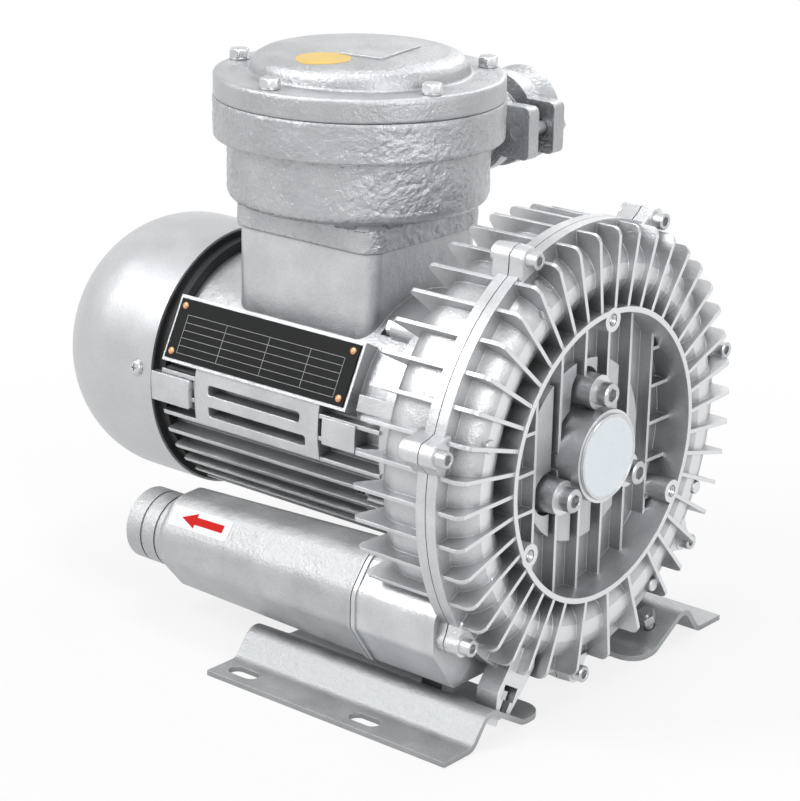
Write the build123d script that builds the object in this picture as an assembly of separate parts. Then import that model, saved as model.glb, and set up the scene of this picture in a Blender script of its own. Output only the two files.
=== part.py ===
from build123d import *
import math
import os

# Side channel blower with a flameproof motor. Millimetres, +Z up, the shaft along X.
# The origin lies on the floor, at the middle of the four slots in the feet.
# The impeller end faces +X, the fan end -X, and the port that shows in front lies on the -Y side.

# Heights and planes along the shaft
axis_height = 134.5
joint_x = 86.0
gasket_thickness = 0.5
cover_front_x = 108.0
seam_x = 26.0
frame_front_x = 22.0
frame_rear_x = -146.0

# Clearances
seat_gap = 0.03
thread_gap = 0.05
running_gap = 0.05
shaft_hole_gap = 0.5
face_gap = 0.5
tip_gap = 0.5
bolt_hole_gap = 0.5

# Side channel: one half in the rear housing and one in the front cover
channel_pitch_radius = 98.0
channel_radius = 14.0
channel_wall = 3.5
rear_channel_x = 60.5
stripper_half_angle = 22.0
flange_radius = 123.7
flange_thickness = 6.0
fin_thickness = 2.2
fin_pitch = 8.45
fin_first_angle = -55.9
fin_count = 37
bottom_fin_angles = (-69.9, -83.8, -97.8)
rear_fin_radius = 122.0
rear_fin_tip_x = 34.0
rear_fin_root_x = 46.0
rear_fin_root_radius = 102.0
rear_fin_tip_round = 3.0
cover_fin_radius = 122.5
cover_fin_front_x = 107.0
cover_fin_corner = 5.0

# Hexagon socket in a screw's head, as parts of the head's radius and height
socket_width = 0.55
socket_depth = 0.55

# Seven screws that close the flange
lug_count = 7
lug_pitch_radius = 127.6
lug_radius = 6.2
rear_lug_length = 12.0
cover_lug_length = 7.9
cover_screw_radius = 2.5
cover_screw_head_radius = 4.6
cover_screw_head_height = 6.0

# Rear housing, inside and behind
rear_wall_x = 46.0
rear_wall_thickness = 5.0
motor_flange_radius = 74.0
motor_spigot_length = 6.0
motor_spigot_wall = 5.0
seal_tube_radius = 21.0
seal_tube_rear_x = 34.0
seal_outer_radius = 16.0
seal_width = 6.0
seal_rear_x = 38.0

# Recess of the front cover
rim_radius = 80.1
rim_wall = 3.0
recess_floor_x = 87.0
recess_floor_thickness = 3.5
rib_front_x = 94.5
rib_thickness = 2.0
upright_rib_first_y = -44.5
upright_rib_pitch = 20.5
upright_rib_count = 6
cross_rib_pitch = 21.4
cross_rib_steps = (-2, -1, 0, 1, 2)
hub_screw_pitch_radius = 33.8
hub_screw_angles = (90.0, 210.0, 330.0)
pad_radius = 9.5
pad_front_x = 102.0
tapped_boss_pitch_radius = 74.4
tapped_boss_radius = 6.5
tapped_hole_radius = 3.4
tapped_hole_depth = 14.0

# Bearing cartridge, its screws and its cap
nose_radius = 25.3
cartridge_flange_radius = 41.0
cartridge_flange_thickness = 6.0
cartridge_shoulder = 0.5
hub_screw_radius = 4.0
hub_screw_head_radius = 6.5
hub_screw_head_height = 8.0
hub_screw_depth = 5.0
cap_radius = 23.5
cap_thickness = 2.0
cap_plug_length = 2.5

# Ball bearings, the same at both ends
bearing_outer_radius = 20.0
bearing_bore_radius = 8.5
bearing_width = 12.0
ball_radius = 3.3
ball_count = 7
ring_land = 2.7
groove_depth = 1.0
groove_half_width = 2.8
cage_thickness = 1.6
cage_half_width = 2.6
ball_pocket_gap = 0.1
ball_race_gap = 0.05
rear_bearing_x = -158.0
wave_washer_thickness = 1.2

# Shaft
shaft_radius = 10.5
rotor_seat_radius = 12.0
impeller_seat_radius = 9.5
impeller_seat_x = 56.0
fan_seat_radius = 7.5
shaft_rear_x = -215.0
shaft_end_gap = 0.5
key_width = 6.0
key_height = 6.0
key_length = 15.0
key_sink = 3.5

# Impeller
impeller_hub_radius = 22.0
impeller_hub_length = 20.0
impeller_web_thickness = 5.0
impeller_web_x = 66.0
impeller_web_dish = 5.0
pocket_half_height = 11.5
pocket_bottom_half_height = 7.0
pocket_depth = 11.0
blade_count = 32
blade_thickness = 2.0
blade_setback = 0.4
blade_root = 0.8
spacer_radius = 12.0
end_washer_radius = 11.0
end_washer_thickness = 2.5
end_screw_radius = 3.0
end_screw_head_radius = 5.0
end_screw_head_height = 4.0
end_screw_length = 16.0

# Motor frame, stator and rotor
frame_bore_radius = 60.0
frame_wall = 6.0
frame_fin_radius = 74.5
frame_fin_thickness = 2.4
frame_fin_first_angle = 173.0
frame_fin_pitch = 9.6
frame_fin_count = 24
frame_flange_length = 9.0
frame_flange_radius = 73.0
stator_rear_x = -110.0
stator_length = 80.0
stator_bore_radius = 34.0
air_gap = 0.5
winding_length = 20.0
winding_inner_radius = 37.0
winding_outer_radius = 56.0
end_boss_angle = 176.5
end_boss_radius = 7.0
end_boss_length = 26.0
end_screw_circle = 66.5
frame_lug_angle = 125.0
frame_lug_radius = 7.0
frame_lug_rear_x = -4.0
frame_screw_circle = 67.0
frame_screw_radius = 3.0
frame_screw_head_radius = 5.2
frame_screw_head_height = 4.5
frame_screw_grip = 12.0
side_block_angle = 163.0
side_block_height = 9.0
side_block_depth = 12.0
side_block_top_radius = 76.0
side_block_rear_x = -2.0

# Rear end shield and fan
shield_flange_radius = 72.0
shield_flange_thickness = 6.0
shield_spigot_length = 8.0
shield_spigot_wall = 6.0
shield_hub_wall = 6.0
shield_hub_back = 4.0
cowl_seat_wall = 6.0
cowl_seat_length = 16.0
shield_screw_grip = 14.0
fan_disc_radius = 58.0
fan_hub_radius = 14.0
fan_front_x = -184.0
fan_hub_length = 26.0
fan_disc_thickness = 2.5
fan_blade_count = 9
fan_blade_thickness = 2.2
clip_thickness = 1.2
clip_radius = 10.5
clip_groove_depth = 0.8

# Fan cover
cowl_radius = 76.9
cowl_rim_x = -152.5
cowl_end_x = -252.5
cowl_crown_radius = 60.0
cowl_wall = 1.5
grille_rings = 4
grille_first_radius = 11.0
grille_pitch = 10.0
grille_slot = 5.0
grille_bridge = 6.0
cowl_screw_x = -163.6
cowl_screw_angles = (174.6, 54.6, -65.4)
cowl_screw_radius = 2.0
cowl_screw_head_radius = 4.4
cowl_screw_head_height = 2.4

# Nameplate on its pad
plate_rear_x = -143.0
plate_length = 132.0
plate_width = 34.5
plate_thickness = 1.0
plate_angle = 153.6
pad_face_radius = 74.3
pad_margin = 2.0
rivet_inset = 4.0
rivet_head_radius = 1.9
rivet_head_height = 0.8
rivet_radius = 1.1
rivet_length = 3.0

# Terminal box on the square neck
box_x = -66.0
neck_half_x = 49.6
neck_half_y = 47.2
neck_corner = 10.0
neck_top_z = 228.0
neck_hole_radius = 22.0
box_gasket_thickness = 0.8
box_ledge = 2.0
box_base_height = 17.0
box_radius = 72.0
box_round_z = 245.0
box_edge_round = 5.0
box_flange_z = 280.0
box_flange_radius = 79.8
box_top_z = 301.6
box_wall = 8.0
box_floor_thickness = 10.0
box_screw_x = 36.0
box_screw_y = 33.0
box_screw_radius = 3.0
box_screw_head_radius = 5.0
box_screw_head_height = 5.0
box_screw_grip = 10.0

# Lid
lid_radius = 80.0
lid_thickness = 13.0
dome_radius = 60.2
dome_height = 12.5
dome_crown = 1.5
dome_edge_round = 11.0
lid_wall = 6.0
lid_screw_count = 5
lid_screw_circle = 72.3
lid_screw_radius = 3.0
lid_screw_head_radius = 5.0
lid_screw_head_height = 6.0
lid_screw_depth = 12.0
lid_seal_radius = 65.8
lid_seal_width = 1.8
lid_seal_depth = 1.5

# Terminal block
block_length = 64.0
block_width = 26.0
block_height = 14.0
stud_pitch_x = 20.0
stud_pitch_y = 13.0
stud_radius = 2.0
stud_height = 12.0
stud_nut_radius = 4.0
stud_nut_height = 3.2
stud_sink = 4.0
earth_screw_y = 32.0
earth_screw_radius = 2.5
earth_screw_length = 8.0
earth_screw_sink = 4.0
earth_head_radius = 5.5
earth_head_height = 3.5

# Cable entry on the +Y side of the box
entry_z = 270.0
entry_boss_radius = 24.0
entry_flange_y = 98.0
entry_flange_thickness = 9.0
entry_hole_radius = 14.0
entry_chamber_radius = 19.0
entry_chamber_depth = 21.0
ear_half_length = 43.0
ear_height = 30.5
ear_corner = 4.0
ear_disc_radius = 28.0
ear_screw_offset = 34.0
ear_gap = 14.7
gland_flange_thickness = 9.3
gland_length = 17.0
gland_bore_radius = 10.0
gland_mouth_radius = 21.0
gland_waist_radius = 25.5
horn_edge_length = 2.0
gland_sleeve_gap = 0.4
gland_seal_bore = 8.0
gland_seal_length = 17.0
gland_washer_thickness = 1.5
gland_screw_radius = 4.0
gland_screw_head_radius = 7.0
gland_screw_head_height = 5.3

# Ports and silencers, mirrored about the shaft's plane
port_y = 80.0
port_z = 53.0
duct_radius = 20.0
silencer_gasket_thickness = 0.6
lip_height = 1.0
lip_length = 2.5
duct_lobe_front_x = joint_x - flange_thickness
silencer_rear_x = -117.0
silencer_nose_x = -122.0
silencer_nose_scale = 0.86
spigot_end_x = -149.0
spigot_radius = 20.7
spigot_bore_radius = 17.0
spigot_groove_xs = (-138.3, -127.7)
spigot_groove_width = 1.4
spigot_groove_depth = 0.9
silencer_chamber_radius = 20.5
silencer_chamber_rear_x = -110.0
foam_bore_radius = 16.5
front_section = ((-26, -29), (11, -29), (28, -5), (28, 14), (14, 32), (-10, 33), (-28, 18), (-28, -18))
rear_section = ((-22, -27), (8, -27.5), (24, -9), (24.5, 10), (12, 26.5), (-8, 27.5), (-24, 14), (-24, -16))
section_rounds = (4, 3, 8, 12, 12, 12, 12, 6)
ear_places = ((-32.5, 10.0), (-31.5, -12.0))
silencer_ear_radius = 5.5
silencer_ear_length = 13.0
silencer_screw_tip_gap = 3.0
silencer_screw_radius = 2.5
silencer_screw_head_radius = 4.2
silencer_screw_head_height = 4.0

# Feet: folded sheet rails
foot_front_x = 105.3
foot_rear_x = -60.5
foot_thickness = 3.0
foot_outer_y = 127.0
foot_inner_y = 42.0
foot_outer_bend_y = 103.8
foot_inner_bend_y = 60.7
foot_hump_y = 90.4
foot_ramp_angle = 30.0
foot_bend_rounds = (7.0, 8.0, 12.0)
foot_corner = 12.0
slot_x = 43.25
slot_y = 116.0
slot_length = 19.5
slot_width = 9.5

# Legs of the castings and the bolts that hold the feet
leg_seat_inner_y = 67.0
leg_seat_outer_y = 79.0
leg_side_z = 22.0
leg_shoulder = (66.0, 36.0)
leg_inner = (46.0, 27.0)
leg_root_z = 60.0
leg_root_ys = (60.0, 44.0)
front_leg_front_x = 100.0
rear_leg_xs = (50.0, 64.0)
foot_bolt_y = 73.0
foot_bolt_inset = 7.0
foot_bolt_radius = 3.0
foot_bolt_head_radius = 5.77
foot_bolt_head_height = 4.0
leg_sole = 6.0
nut_radius = 5.77
nut_height = 5.0
nut_pocket_width = 12.5
nut_pocket_height = 8.0
washer_radius = 6.0
washer_thickness = 1.2

# Sizes that follow from the ones above
cover_back_x = joint_x + gasket_thickness
impeller_radius = channel_pitch_radius + channel_radius - tip_gap
impeller_rear_x = rear_channel_x + face_gap
impeller_front_x = cover_back_x - face_gap
impeller_bore_radius = channel_pitch_radius + channel_radius
spigot_outer = frame_bore_radius - seat_gap
motor_flange_bore = spigot_outer - motor_spigot_wall
channel_outer_radius = channel_radius + channel_wall
recess_floor_back_x = recess_floor_x - recess_floor_thickness
front_bearing_x = recess_floor_back_x + cartridge_shoulder
fin_angles = [fin_first_angle + k * fin_pitch for k in range(fin_count)]
lug_angles = [-90.0 + k * 360.0 / lug_count for k in range(lug_count)]
silencer_front_x = seam_x - silencer_gasket_thickness / 2
stub_rear_x = seam_x + silencer_gasket_thickness / 2
port_axis_z = port_z - axis_height
box_bottom_z = neck_top_z + box_gasket_thickness
box_floor_z = box_bottom_z + box_floor_thickness
lid_top_z = box_top_z + lid_thickness

SHAFT_AXIS = Axis((0, 0, 0), (1, 0, 0))
BOX_AXIS = Axis((box_x, 0, 0), (0, 0, 1))
RADIAL = Plane(origin=(0, 0, 0), x_dir=(1, 0, 0), z_dir=(0, -1, 0))
BOX_RADIAL = Plane(origin=(box_x, 0, 0), x_dir=(1, 0, 0), z_dir=(0, -1, 0))

os.makedirs("parts", exist_ok=True)


def write(name, *solids):
    """Write one node: a single solid, or a group of separate solids that share a name."""
    shape = solids[0] if len(solids) == 1 else Compound(children=list(solids))
    export_step(shape, "parts/" + name + ".step")


def lifted(shape):
    """Move what is built about the X axis up to the shaft's height."""
    return Pos(0, 0, axis_height) * shape


def turned(*outline):
    """Solid of revolution about the shaft line from (x, radius) corners."""
    return revolve(RADIAL * make_face(Polyline(*outline, close=True)), SHAFT_AXIS)


def tube(x0, x1, outer, inner=0.0):
    """Round tube or disc along the shaft line from x0 to x1."""
    return turned((x0, inner), (x1, inner), (x1, outer), (x0, outer))


def box_turned(*outline):
    """Solid of revolution about the terminal box's upright axis from (radius, z) corners."""
    return revolve(BOX_RADIAL * make_face(Polyline(*outline, close=True)), BOX_AXIS)


def about_shaft(shape, angle):
    """Turn a piece built at the top of the shaft line to a polar angle, +Y being 0 and +Z 90."""
    return Rot(angle - 90, 0, 0) * shape


def rod_x(x0, x1, radius, y, z):
    """Round rod parallel to the shaft, y and z measured from the shaft line."""
    plane = Plane(origin=(x0, y, z), x_dir=(0, 1, 0), z_dir=(1, 0, 0))
    return extrude(plane * Circle(radius), amount=x1 - x0)


def polar_rod(x0, x1, radius, pitch_radius, angle):
    """Rod parallel to the shaft, on a pitch circle."""
    turn = math.radians(angle)
    return rod_x(x0, x1, radius, pitch_radius * math.cos(turn), pitch_radius * math.sin(turn))


def rod_z(x, y, z0, z1, radius):
    """Upright round rod."""
    return Pos(x, y, z0) * extrude(Circle(radius), amount=z1 - z0)


def hexagon_z(x, y, z0, z1, radius):
    """Upright hexagonal bar, radius to its corners."""
    return Pos(x, y, z0) * extrude(RegularPolygon(radius, 6), amount=z1 - z0)


def socket_screw(head_x, head_radius, head_height, radius, length, y, z):
    """Socket-head screw parallel to the shaft; head_x is the plane under its head."""
    screw = rod_x(head_x, head_x + head_height, head_radius, y, z)
    screw += rod_x(head_x - length, head_x, radius, y, z)
    plane = Plane(origin=(head_x + head_height, y, z), x_dir=(0, 1, 0), z_dir=(1, 0, 0))
    socket = plane * RegularPolygon(head_radius * socket_width, 6)
    return screw - extrude(socket, amount=-head_height * socket_depth)


def bore_channel(plane_x, arc):
    """Half-round groove of the side channel, left solid at the stripper block."""
    groove = make_face(Pos(plane_x, channel_pitch_radius) * Circle(channel_radius).edge())
    start = stripper_half_angle if arc < 360 else 0.0
    return Rot(start - 180, 0, 0) * revolve(RADIAL * groove, SHAFT_AXIS, revolution_arc=arc)


def duct_section(corners, side, grow=0.0, scale_by=1.0):
    """Outline of a silencer: flat bottom, lower outer facet and a round top, outward being +Y."""
    points = [(side * u * scale_by, v * scale_by) for u, v in corners]
    if side < 0:
        points = points[::-1]
    rounds = section_rounds if side > 0 else section_rounds[::-1]
    line = FilletPolyline(*points, radius=[r * scale_by for r in rounds], close=True)
    face = make_face(line)
    return offset(face, amount=grow) if grow else face


def duct_plane(x, side):
    """Plane across a port's axis, measured from the shaft line."""
    return Plane(origin=(x, side * port_y, port_axis_z), x_dir=(0, 1, 0), z_dir=(1, 0, 0))


def duct_rod(x0, x1, radius, side, u=0.0, v=0.0):
    """Rod parallel to a port's axis, offset outward by u and up by v."""
    return rod_x(x0, x1, radius, side * (port_y + u), port_axis_z + v)


def ramp_point(y, height):
    """Point (y, z) at a height square off the top of a foot's ramp, above the place y on its fold line."""
    rise = math.radians(foot_ramp_angle)
    half = foot_thickness / 2
    z = half + (y - foot_inner_bend_y) * math.tan(rise)
    off = half + height
    return (y - off * math.sin(rise), z + off * math.cos(rise))


def ramp_frame(x, y, height, side):
    """Plane on a foot's ramp with its normal square off the ramp."""
    rise = math.radians(foot_ramp_angle)
    py, pz = ramp_point(y, height)
    normal = (0, -side * math.sin(rise), math.cos(rise))
    return Plane(origin=(x, side * py, pz), x_dir=(1, 0, 0), z_dir=normal)


def leg(x0, x1, side, opens_front):
    """Leg of a casting: it stands on the ramp and has an open slot for the bolt and its nut."""
    seat_in = ramp_point(leg_seat_inner_y, 0)
    seat_out = ramp_point(leg_seat_outer_y, 0)
    corners = [seat_in, seat_out, (seat_out[0] - 1, leg_side_z), leg_shoulder,
               (leg_root_ys[0], leg_root_z), (leg_root_ys[1], leg_root_z), leg_inner]
    outline = [(side * y, z - axis_height) for y, z in corners]
    plane = Plane(origin=((x0 + x1) / 2, 0, 0), x_dir=(0, 1, 0), z_dir=(1, 0, 0))
    block = extrude(plane * make_face(Polyline(*outline, close=True)), amount=(x1 - x0) / 2, both=True)
    bolt_x = x1 - foot_bolt_inset if opens_front else x0 + foot_bolt_inset
    toward = 1 if opens_front else -1
    reach = foot_bolt_inset + 2
    slot_half = foot_bolt_radius + bolt_hole_gap
    slot = ramp_frame(bolt_x, foot_bolt_y, -1, side)
    slot_shape = Circle(slot_half) + Pos(toward * reach / 2, 0) * Rectangle(reach, 2 * slot_half)
    pocket = ramp_frame(bolt_x, foot_bolt_y, leg_sole, side)
    pocket_shape = Circle(nut_pocket_width / 2)
    pocket_shape += Pos(toward * reach / 2, 0) * Rectangle(reach, nut_pocket_width)
    cut = extrude(slot * slot_shape, amount=leg_sole + 2)
    cut += extrude(pocket * pocket_shape, amount=nut_pocket_height)
    return block - Pos(0, 0, -axis_height) * cut


# Rear housing: side channel half, flange with lugs, fins, duct stubs, motor flange and rear legs
housing = tube(rear_channel_x, joint_x, impeller_bore_radius + channel_wall)
channel_round = Circle(channel_outer_radius)
housing += revolve(RADIAL * Pos(rear_channel_x, channel_pitch_radius) * channel_round, SHAFT_AXIS)
housing += tube(joint_x - flange_thickness, joint_x, flange_radius)
housing += tube(rear_wall_x, rear_wall_x + rear_wall_thickness, channel_pitch_radius - channel_radius / 2)
housing += tube(frame_front_x, rear_wall_x + 1, motor_flange_radius)
rear_fin_outline = make_face(Polyline(
    (duct_lobe_front_x + 1, channel_pitch_radius + channel_radius), (duct_lobe_front_x + 1, rear_fin_radius),
    (rear_fin_tip_x, rear_fin_radius), (rear_fin_root_x, rear_fin_root_radius), close=True))
tip_corner = rear_fin_outline.vertices().sort_by(Axis.X)[0]
rear_fin_outline = fillet(tip_corner, rear_fin_tip_round)
rear_fin = extrude(RADIAL * rear_fin_outline, amount=fin_thickness / 2, both=True)
housing += [about_shaft(rear_fin, angle) for angle in fin_angles]
housing += [polar_rod(joint_x - rear_lug_length, joint_x, lug_radius, lug_pitch_radius, angle)
            for angle in lug_angles]
for side in (-1, 1):
    stub = duct_section(front_section, side)
    housing += extrude(duct_plane(stub_rear_x, side) * stub, amount=duct_lobe_front_x + 1 - stub_rear_x)
    housing += extrude(duct_plane(stub_rear_x, side) * duct_section(front_section, side, lip_height),
                       amount=lip_length)
    for u, v in ear_places:
        housing += duct_rod(stub_rear_x, stub_rear_x + silencer_ear_length, silencer_ear_radius, side, u, v)
    housing += leg(rear_leg_xs[0], rear_leg_xs[1], side, False)
room = tube(rear_channel_x, joint_x + 1, impeller_bore_radius)
room += tube(rear_wall_x + rear_wall_thickness, rear_channel_x + 1,
             channel_pitch_radius - channel_outer_radius + 0.5)
housing -= room
housing += tube(frame_front_x - motor_spigot_length, frame_front_x + 1, spigot_outer)
housing -= tube(frame_front_x - motor_spigot_length - 1, rear_wall_x, motor_flange_bore)
housing -= bore_channel(rear_channel_x, 360 - 2 * stripper_half_angle)
seal_tube = tube(seal_tube_rear_x, rear_wall_x + rear_wall_thickness, seal_tube_radius)
seal_tube -= tube(seal_tube_rear_x - 1, seal_rear_x + seal_width, seal_outer_radius)
housing += seal_tube
housing -= tube(seal_tube_rear_x - 1, rear_wall_x + rear_wall_thickness + 1, shaft_radius + shaft_hole_gap)
for angle in lug_angles:
    housing -= polar_rod(joint_x - rear_lug_length - 1, joint_x + 1, cover_screw_radius + thread_gap,
                         lug_pitch_radius, angle)
for k in range(4):
    housing -= polar_rod(frame_front_x - 1, frame_front_x + frame_screw_grip,
                         frame_screw_radius + thread_gap, frame_screw_circle, frame_lug_angle + 90 * k)
for side in (-1, 1):
    housing -= duct_rod(stub_rear_x - 1, rear_channel_x, duct_radius, side)
    for u, v in ear_places:
        housing -= duct_rod(stub_rear_x - 1, stub_rear_x + silencer_ear_length - 2,
                            silencer_screw_radius + thread_gap, side, u, v)
write("rear_housing", lifted(housing))

# Gasket between the two halves of the blower
gasket = tube(joint_x, cover_back_x, flange_radius, impeller_bore_radius + tip_gap)
for angle in lug_angles:
    gasket += polar_rod(joint_x, cover_back_x, lug_radius, lug_pitch_radius, angle)
for angle in lug_angles:
    gasket -= polar_rod(joint_x - 1, cover_back_x + 1, cover_screw_radius + bolt_hole_gap,
                        lug_pitch_radius, angle)
write("cover_gasket", lifted(gasket))

# Front cover: the other channel half, rim, recess with ribs, pads, tapped bosses, fins and front legs
cover = tube(cover_back_x, cover_back_x + flange_thickness, flange_radius,
             impeller_bore_radius - channel_wall)
cover += revolve(RADIAL * Pos(cover_back_x, channel_pitch_radius) * channel_round, SHAFT_AXIS)
cover_fin_outline = make_face(Polyline(
    (cover_back_x + 1, rim_radius - 1), (cover_fin_front_x, rim_radius - 1),
    (cover_fin_front_x, cover_fin_radius), (cover_back_x + 1, cover_fin_radius), close=True))
fin_corner = cover_fin_outline.vertices().group_by(Axis.X)[-1].sort_by(Axis.Y)[-1]
cover_fin_outline = fillet(fin_corner, cover_fin_corner)
cover_fin = extrude(RADIAL * cover_fin_outline, amount=fin_thickness / 2, both=True)
cover += [about_shaft(cover_fin, angle) for angle in fin_angles]
cover += [about_shaft(cover_fin, angle) for angle in bottom_fin_angles]
cover += tube(recess_floor_back_x, cover_front_x, rim_radius)
cover -= tube(recess_floor_x, cover_front_x + 1, rim_radius - rim_wall)
ribs = Part()
rib_depth = rib_front_x - recess_floor_x + 1
rib_middle_x = (rib_front_x + recess_floor_x - 1) / 2
for k in range(upright_rib_count):
    rib_y = upright_rib_first_y + k * upright_rib_pitch
    ribs += Pos(rib_middle_x, rib_y, 0) * Box(rib_depth, rib_thickness, 2 * rim_radius)
last_rib_y = upright_rib_first_y + (upright_rib_count - 1) * upright_rib_pitch
for step in cross_rib_steps:
    for start_y, end_y in ((-rim_radius, upright_rib_first_y), (last_rib_y, rim_radius)):
        rib = Box(rib_depth, end_y - start_y, rib_thickness)
        ribs += Pos(rib_middle_x, (start_y + end_y) / 2, step * cross_rib_pitch) * rib
cover += ribs & tube(recess_floor_x - 1, cover_front_x, rim_radius - rim_wall + 0.5)
for angle in hub_screw_angles:
    cover += polar_rod(recess_floor_x - 1, pad_front_x, pad_radius, hub_screw_pitch_radius, angle)
    cover += polar_rod(recess_floor_x - 1, cover_front_x, tapped_boss_radius,
                       tapped_boss_pitch_radius, angle)
for angle in lug_angles:
    cover += polar_rod(cover_back_x, cover_back_x + cover_lug_length, lug_radius, lug_pitch_radius, angle)
for side in (-1, 1):
    cover += leg(cover_back_x, front_leg_front_x, side, True)
cover -= tube(0, cover_back_x, 2 * flange_radius) - tube(-1, cover_back_x + 1, rim_radius)
cover -= bore_channel(cover_back_x, 360 - 2 * stripper_half_angle)
cover -= tube(recess_floor_back_x - 1, cover_front_x + 1, nose_radius + seat_gap)
for angle in hub_screw_angles:
    cover -= polar_rod(recess_floor_back_x - 1, pad_front_x + 1, hub_screw_radius + bolt_hole_gap,
                       hub_screw_pitch_radius, angle)
    cover -= polar_rod(cover_front_x - tapped_hole_depth, cover_front_x + 1, tapped_hole_radius,
                       tapped_boss_pitch_radius, angle)
for angle in lug_angles:
    cover -= polar_rod(joint_x, cover_back_x + cover_lug_length, cover_screw_radius + bolt_hole_gap,
                       lug_pitch_radius, angle)
    cover -= polar_rod(cover_back_x + cover_lug_length, cover_front_x,
                       cover_screw_head_radius + bolt_hole_gap, lug_pitch_radius, angle)
write("front_cover", lifted(cover))

cover_screws = []
for angle in lug_angles:
    turn = math.radians(angle)
    cover_screws.append(lifted(socket_screw(
        cover_back_x + cover_lug_length, cover_screw_head_radius, cover_screw_head_height,
        cover_screw_radius,
        cover_lug_length + gasket_thickness + rear_lug_length - 1,
        lug_pitch_radius * math.cos(turn), lug_pitch_radius * math.sin(turn))))
write("cover_screws", *cover_screws)

# Bearing cartridge behind the recess floor, its nose through the floor, with screws and cap
flange_back_x = recess_floor_back_x - cartridge_flange_thickness
cartridge = tube(flange_back_x, recess_floor_back_x, cartridge_flange_radius)
cartridge += tube(recess_floor_back_x, cover_front_x, nose_radius)
cartridge -= tube(front_bearing_x, cover_front_x + 1, bearing_outer_radius + seat_gap)
cartridge -= tube(flange_back_x - 1, front_bearing_x + 1, bearing_outer_radius - ring_land)
for angle in hub_screw_angles:
    cartridge -= polar_rod(flange_back_x - 1, recess_floor_back_x + 1, hub_screw_radius + thread_gap,
                           hub_screw_pitch_radius, angle)
write("bearing_cartridge", lifted(cartridge))

hub_screws = []
for angle in hub_screw_angles:
    turn = math.radians(angle)
    hub_screws.append(lifted(socket_screw(
        pad_front_x, hub_screw_head_radius, hub_screw_head_height, hub_screw_radius,
        pad_front_x - recess_floor_back_x + hub_screw_depth,
        hub_screw_pitch_radius * math.cos(turn), hub_screw_pitch_radius * math.sin(turn))))
write("hub_screws", *hub_screws)

hub_cap = tube(cover_front_x, cover_front_x + cap_thickness, cap_radius)
hub_cap += tube(cover_front_x - cap_plug_length, cover_front_x, bearing_outer_radius - 2 * seat_gap)
write("hub_cap", lifted(hub_cap))

# Ball bearings
ball_circle = (bearing_outer_radius + bearing_bore_radius) / 2


def bearing_ring(x, wall_radius, race_radius):
    """One bearing ring with a shallow groove turned in its race."""
    grow = 1 if wall_radius > race_radius else -1
    middle = x + bearing_width / 2
    groove_radius = ball_circle + grow * (ball_radius + ball_race_gap)
    land_radius = groove_radius - grow * groove_depth
    return turned((x, wall_radius), (x, land_radius), (middle - groove_half_width, land_radius),
                  (middle - groove_half_width / 2, groove_radius),
                  (middle + groove_half_width / 2, groove_radius),
                  (middle + groove_half_width, land_radius), (x + bearing_width, land_radius),
                  (x + bearing_width, wall_radius))


def ball_set(x):
    """Balls on their pitch circle in a cage ring with round pockets."""
    middle = x + bearing_width / 2
    cage = tube(middle - cage_half_width, middle + cage_half_width, ball_circle + cage_thickness / 2,
                ball_circle - cage_thickness / 2)
    balls = []
    for k in range(ball_count):
        place = Rot(k * 360 / ball_count, 0, 0) * Pos(middle, 0, ball_circle)
        balls.append(place * Sphere(ball_radius))
        pocket = rod_z(middle, 0, 0, 2 * ball_circle, ball_radius + ball_pocket_gap)
        cage -= Rot(k * 360 / ball_count, 0, 0) * pocket
    return [lifted(piece) for piece in [cage] + balls]


for name, bearing_x in (("front", front_bearing_x), ("rear", rear_bearing_x)):
    write(name + "_outer_ring", lifted(bearing_ring(bearing_x, bearing_outer_radius, ball_circle)))
    write(name + "_inner_ring", lifted(bearing_ring(bearing_x, bearing_bore_radius, ball_circle)))
    write(name + "_balls", *ball_set(bearing_x))

# Seal round the shaft in the rear wall
shaft_seal = tube(seal_rear_x, seal_rear_x + seal_width, seal_outer_radius - seat_gap,
                  shaft_radius + running_gap)
write("shaft_seal", lifted(shaft_seal))

# Shaft with its steps, keyway and end thread
shaft_front_x = front_bearing_x + bearing_width - shaft_end_gap
spacer_rear_x = impeller_seat_x + impeller_hub_length
shoulder_x = rear_bearing_x + bearing_width
stator_front_x = stator_rear_x + stator_length
clip_x = fan_front_x - fan_hub_length - clip_thickness
shaft_bearing_radius = bearing_bore_radius - seat_gap
shaft = turned(
    (shaft_rear_x, 0), (shaft_rear_x, fan_seat_radius),
    (fan_front_x, fan_seat_radius), (fan_front_x, shaft_bearing_radius),
    (shoulder_x, shaft_bearing_radius), (shoulder_x, shaft_radius),
    (stator_rear_x, shaft_radius), (stator_rear_x, rotor_seat_radius),
    (stator_front_x, rotor_seat_radius), (stator_front_x, shaft_radius),
    (impeller_seat_x, shaft_radius), (impeller_seat_x, impeller_seat_radius),
    (spacer_rear_x, impeller_seat_radius), (spacer_rear_x, shaft_bearing_radius),
    (shaft_front_x, shaft_bearing_radius), (shaft_front_x, 0))
key_middle_x = impeller_seat_x + impeller_hub_length / 2
key_floor = impeller_seat_radius - key_sink
key_slot = Pos(key_middle_x, 0, key_floor + key_height / 2) * Box(key_length, key_width, key_height)
shaft -= key_slot
shaft -= tube(clip_x, clip_x + clip_thickness, fan_seat_radius + 1, fan_seat_radius - clip_groove_depth)
shaft -= tube(shaft_front_x - end_screw_length, shaft_front_x + 1, end_screw_radius + thread_gap)
write("shaft", lifted(shaft))
key_trim = 2 * seat_gap
impeller_key = Pos(key_middle_x, 0, key_floor + key_height / 2) * Box(
    key_length - key_trim, key_width - key_trim, key_height - key_trim)
write("impeller_key", lifted(impeller_key))

# Impeller: keyed hub, dished web and a ring with blade pockets in both faces
ring_inner_radius = channel_pitch_radius - channel_radius


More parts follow.
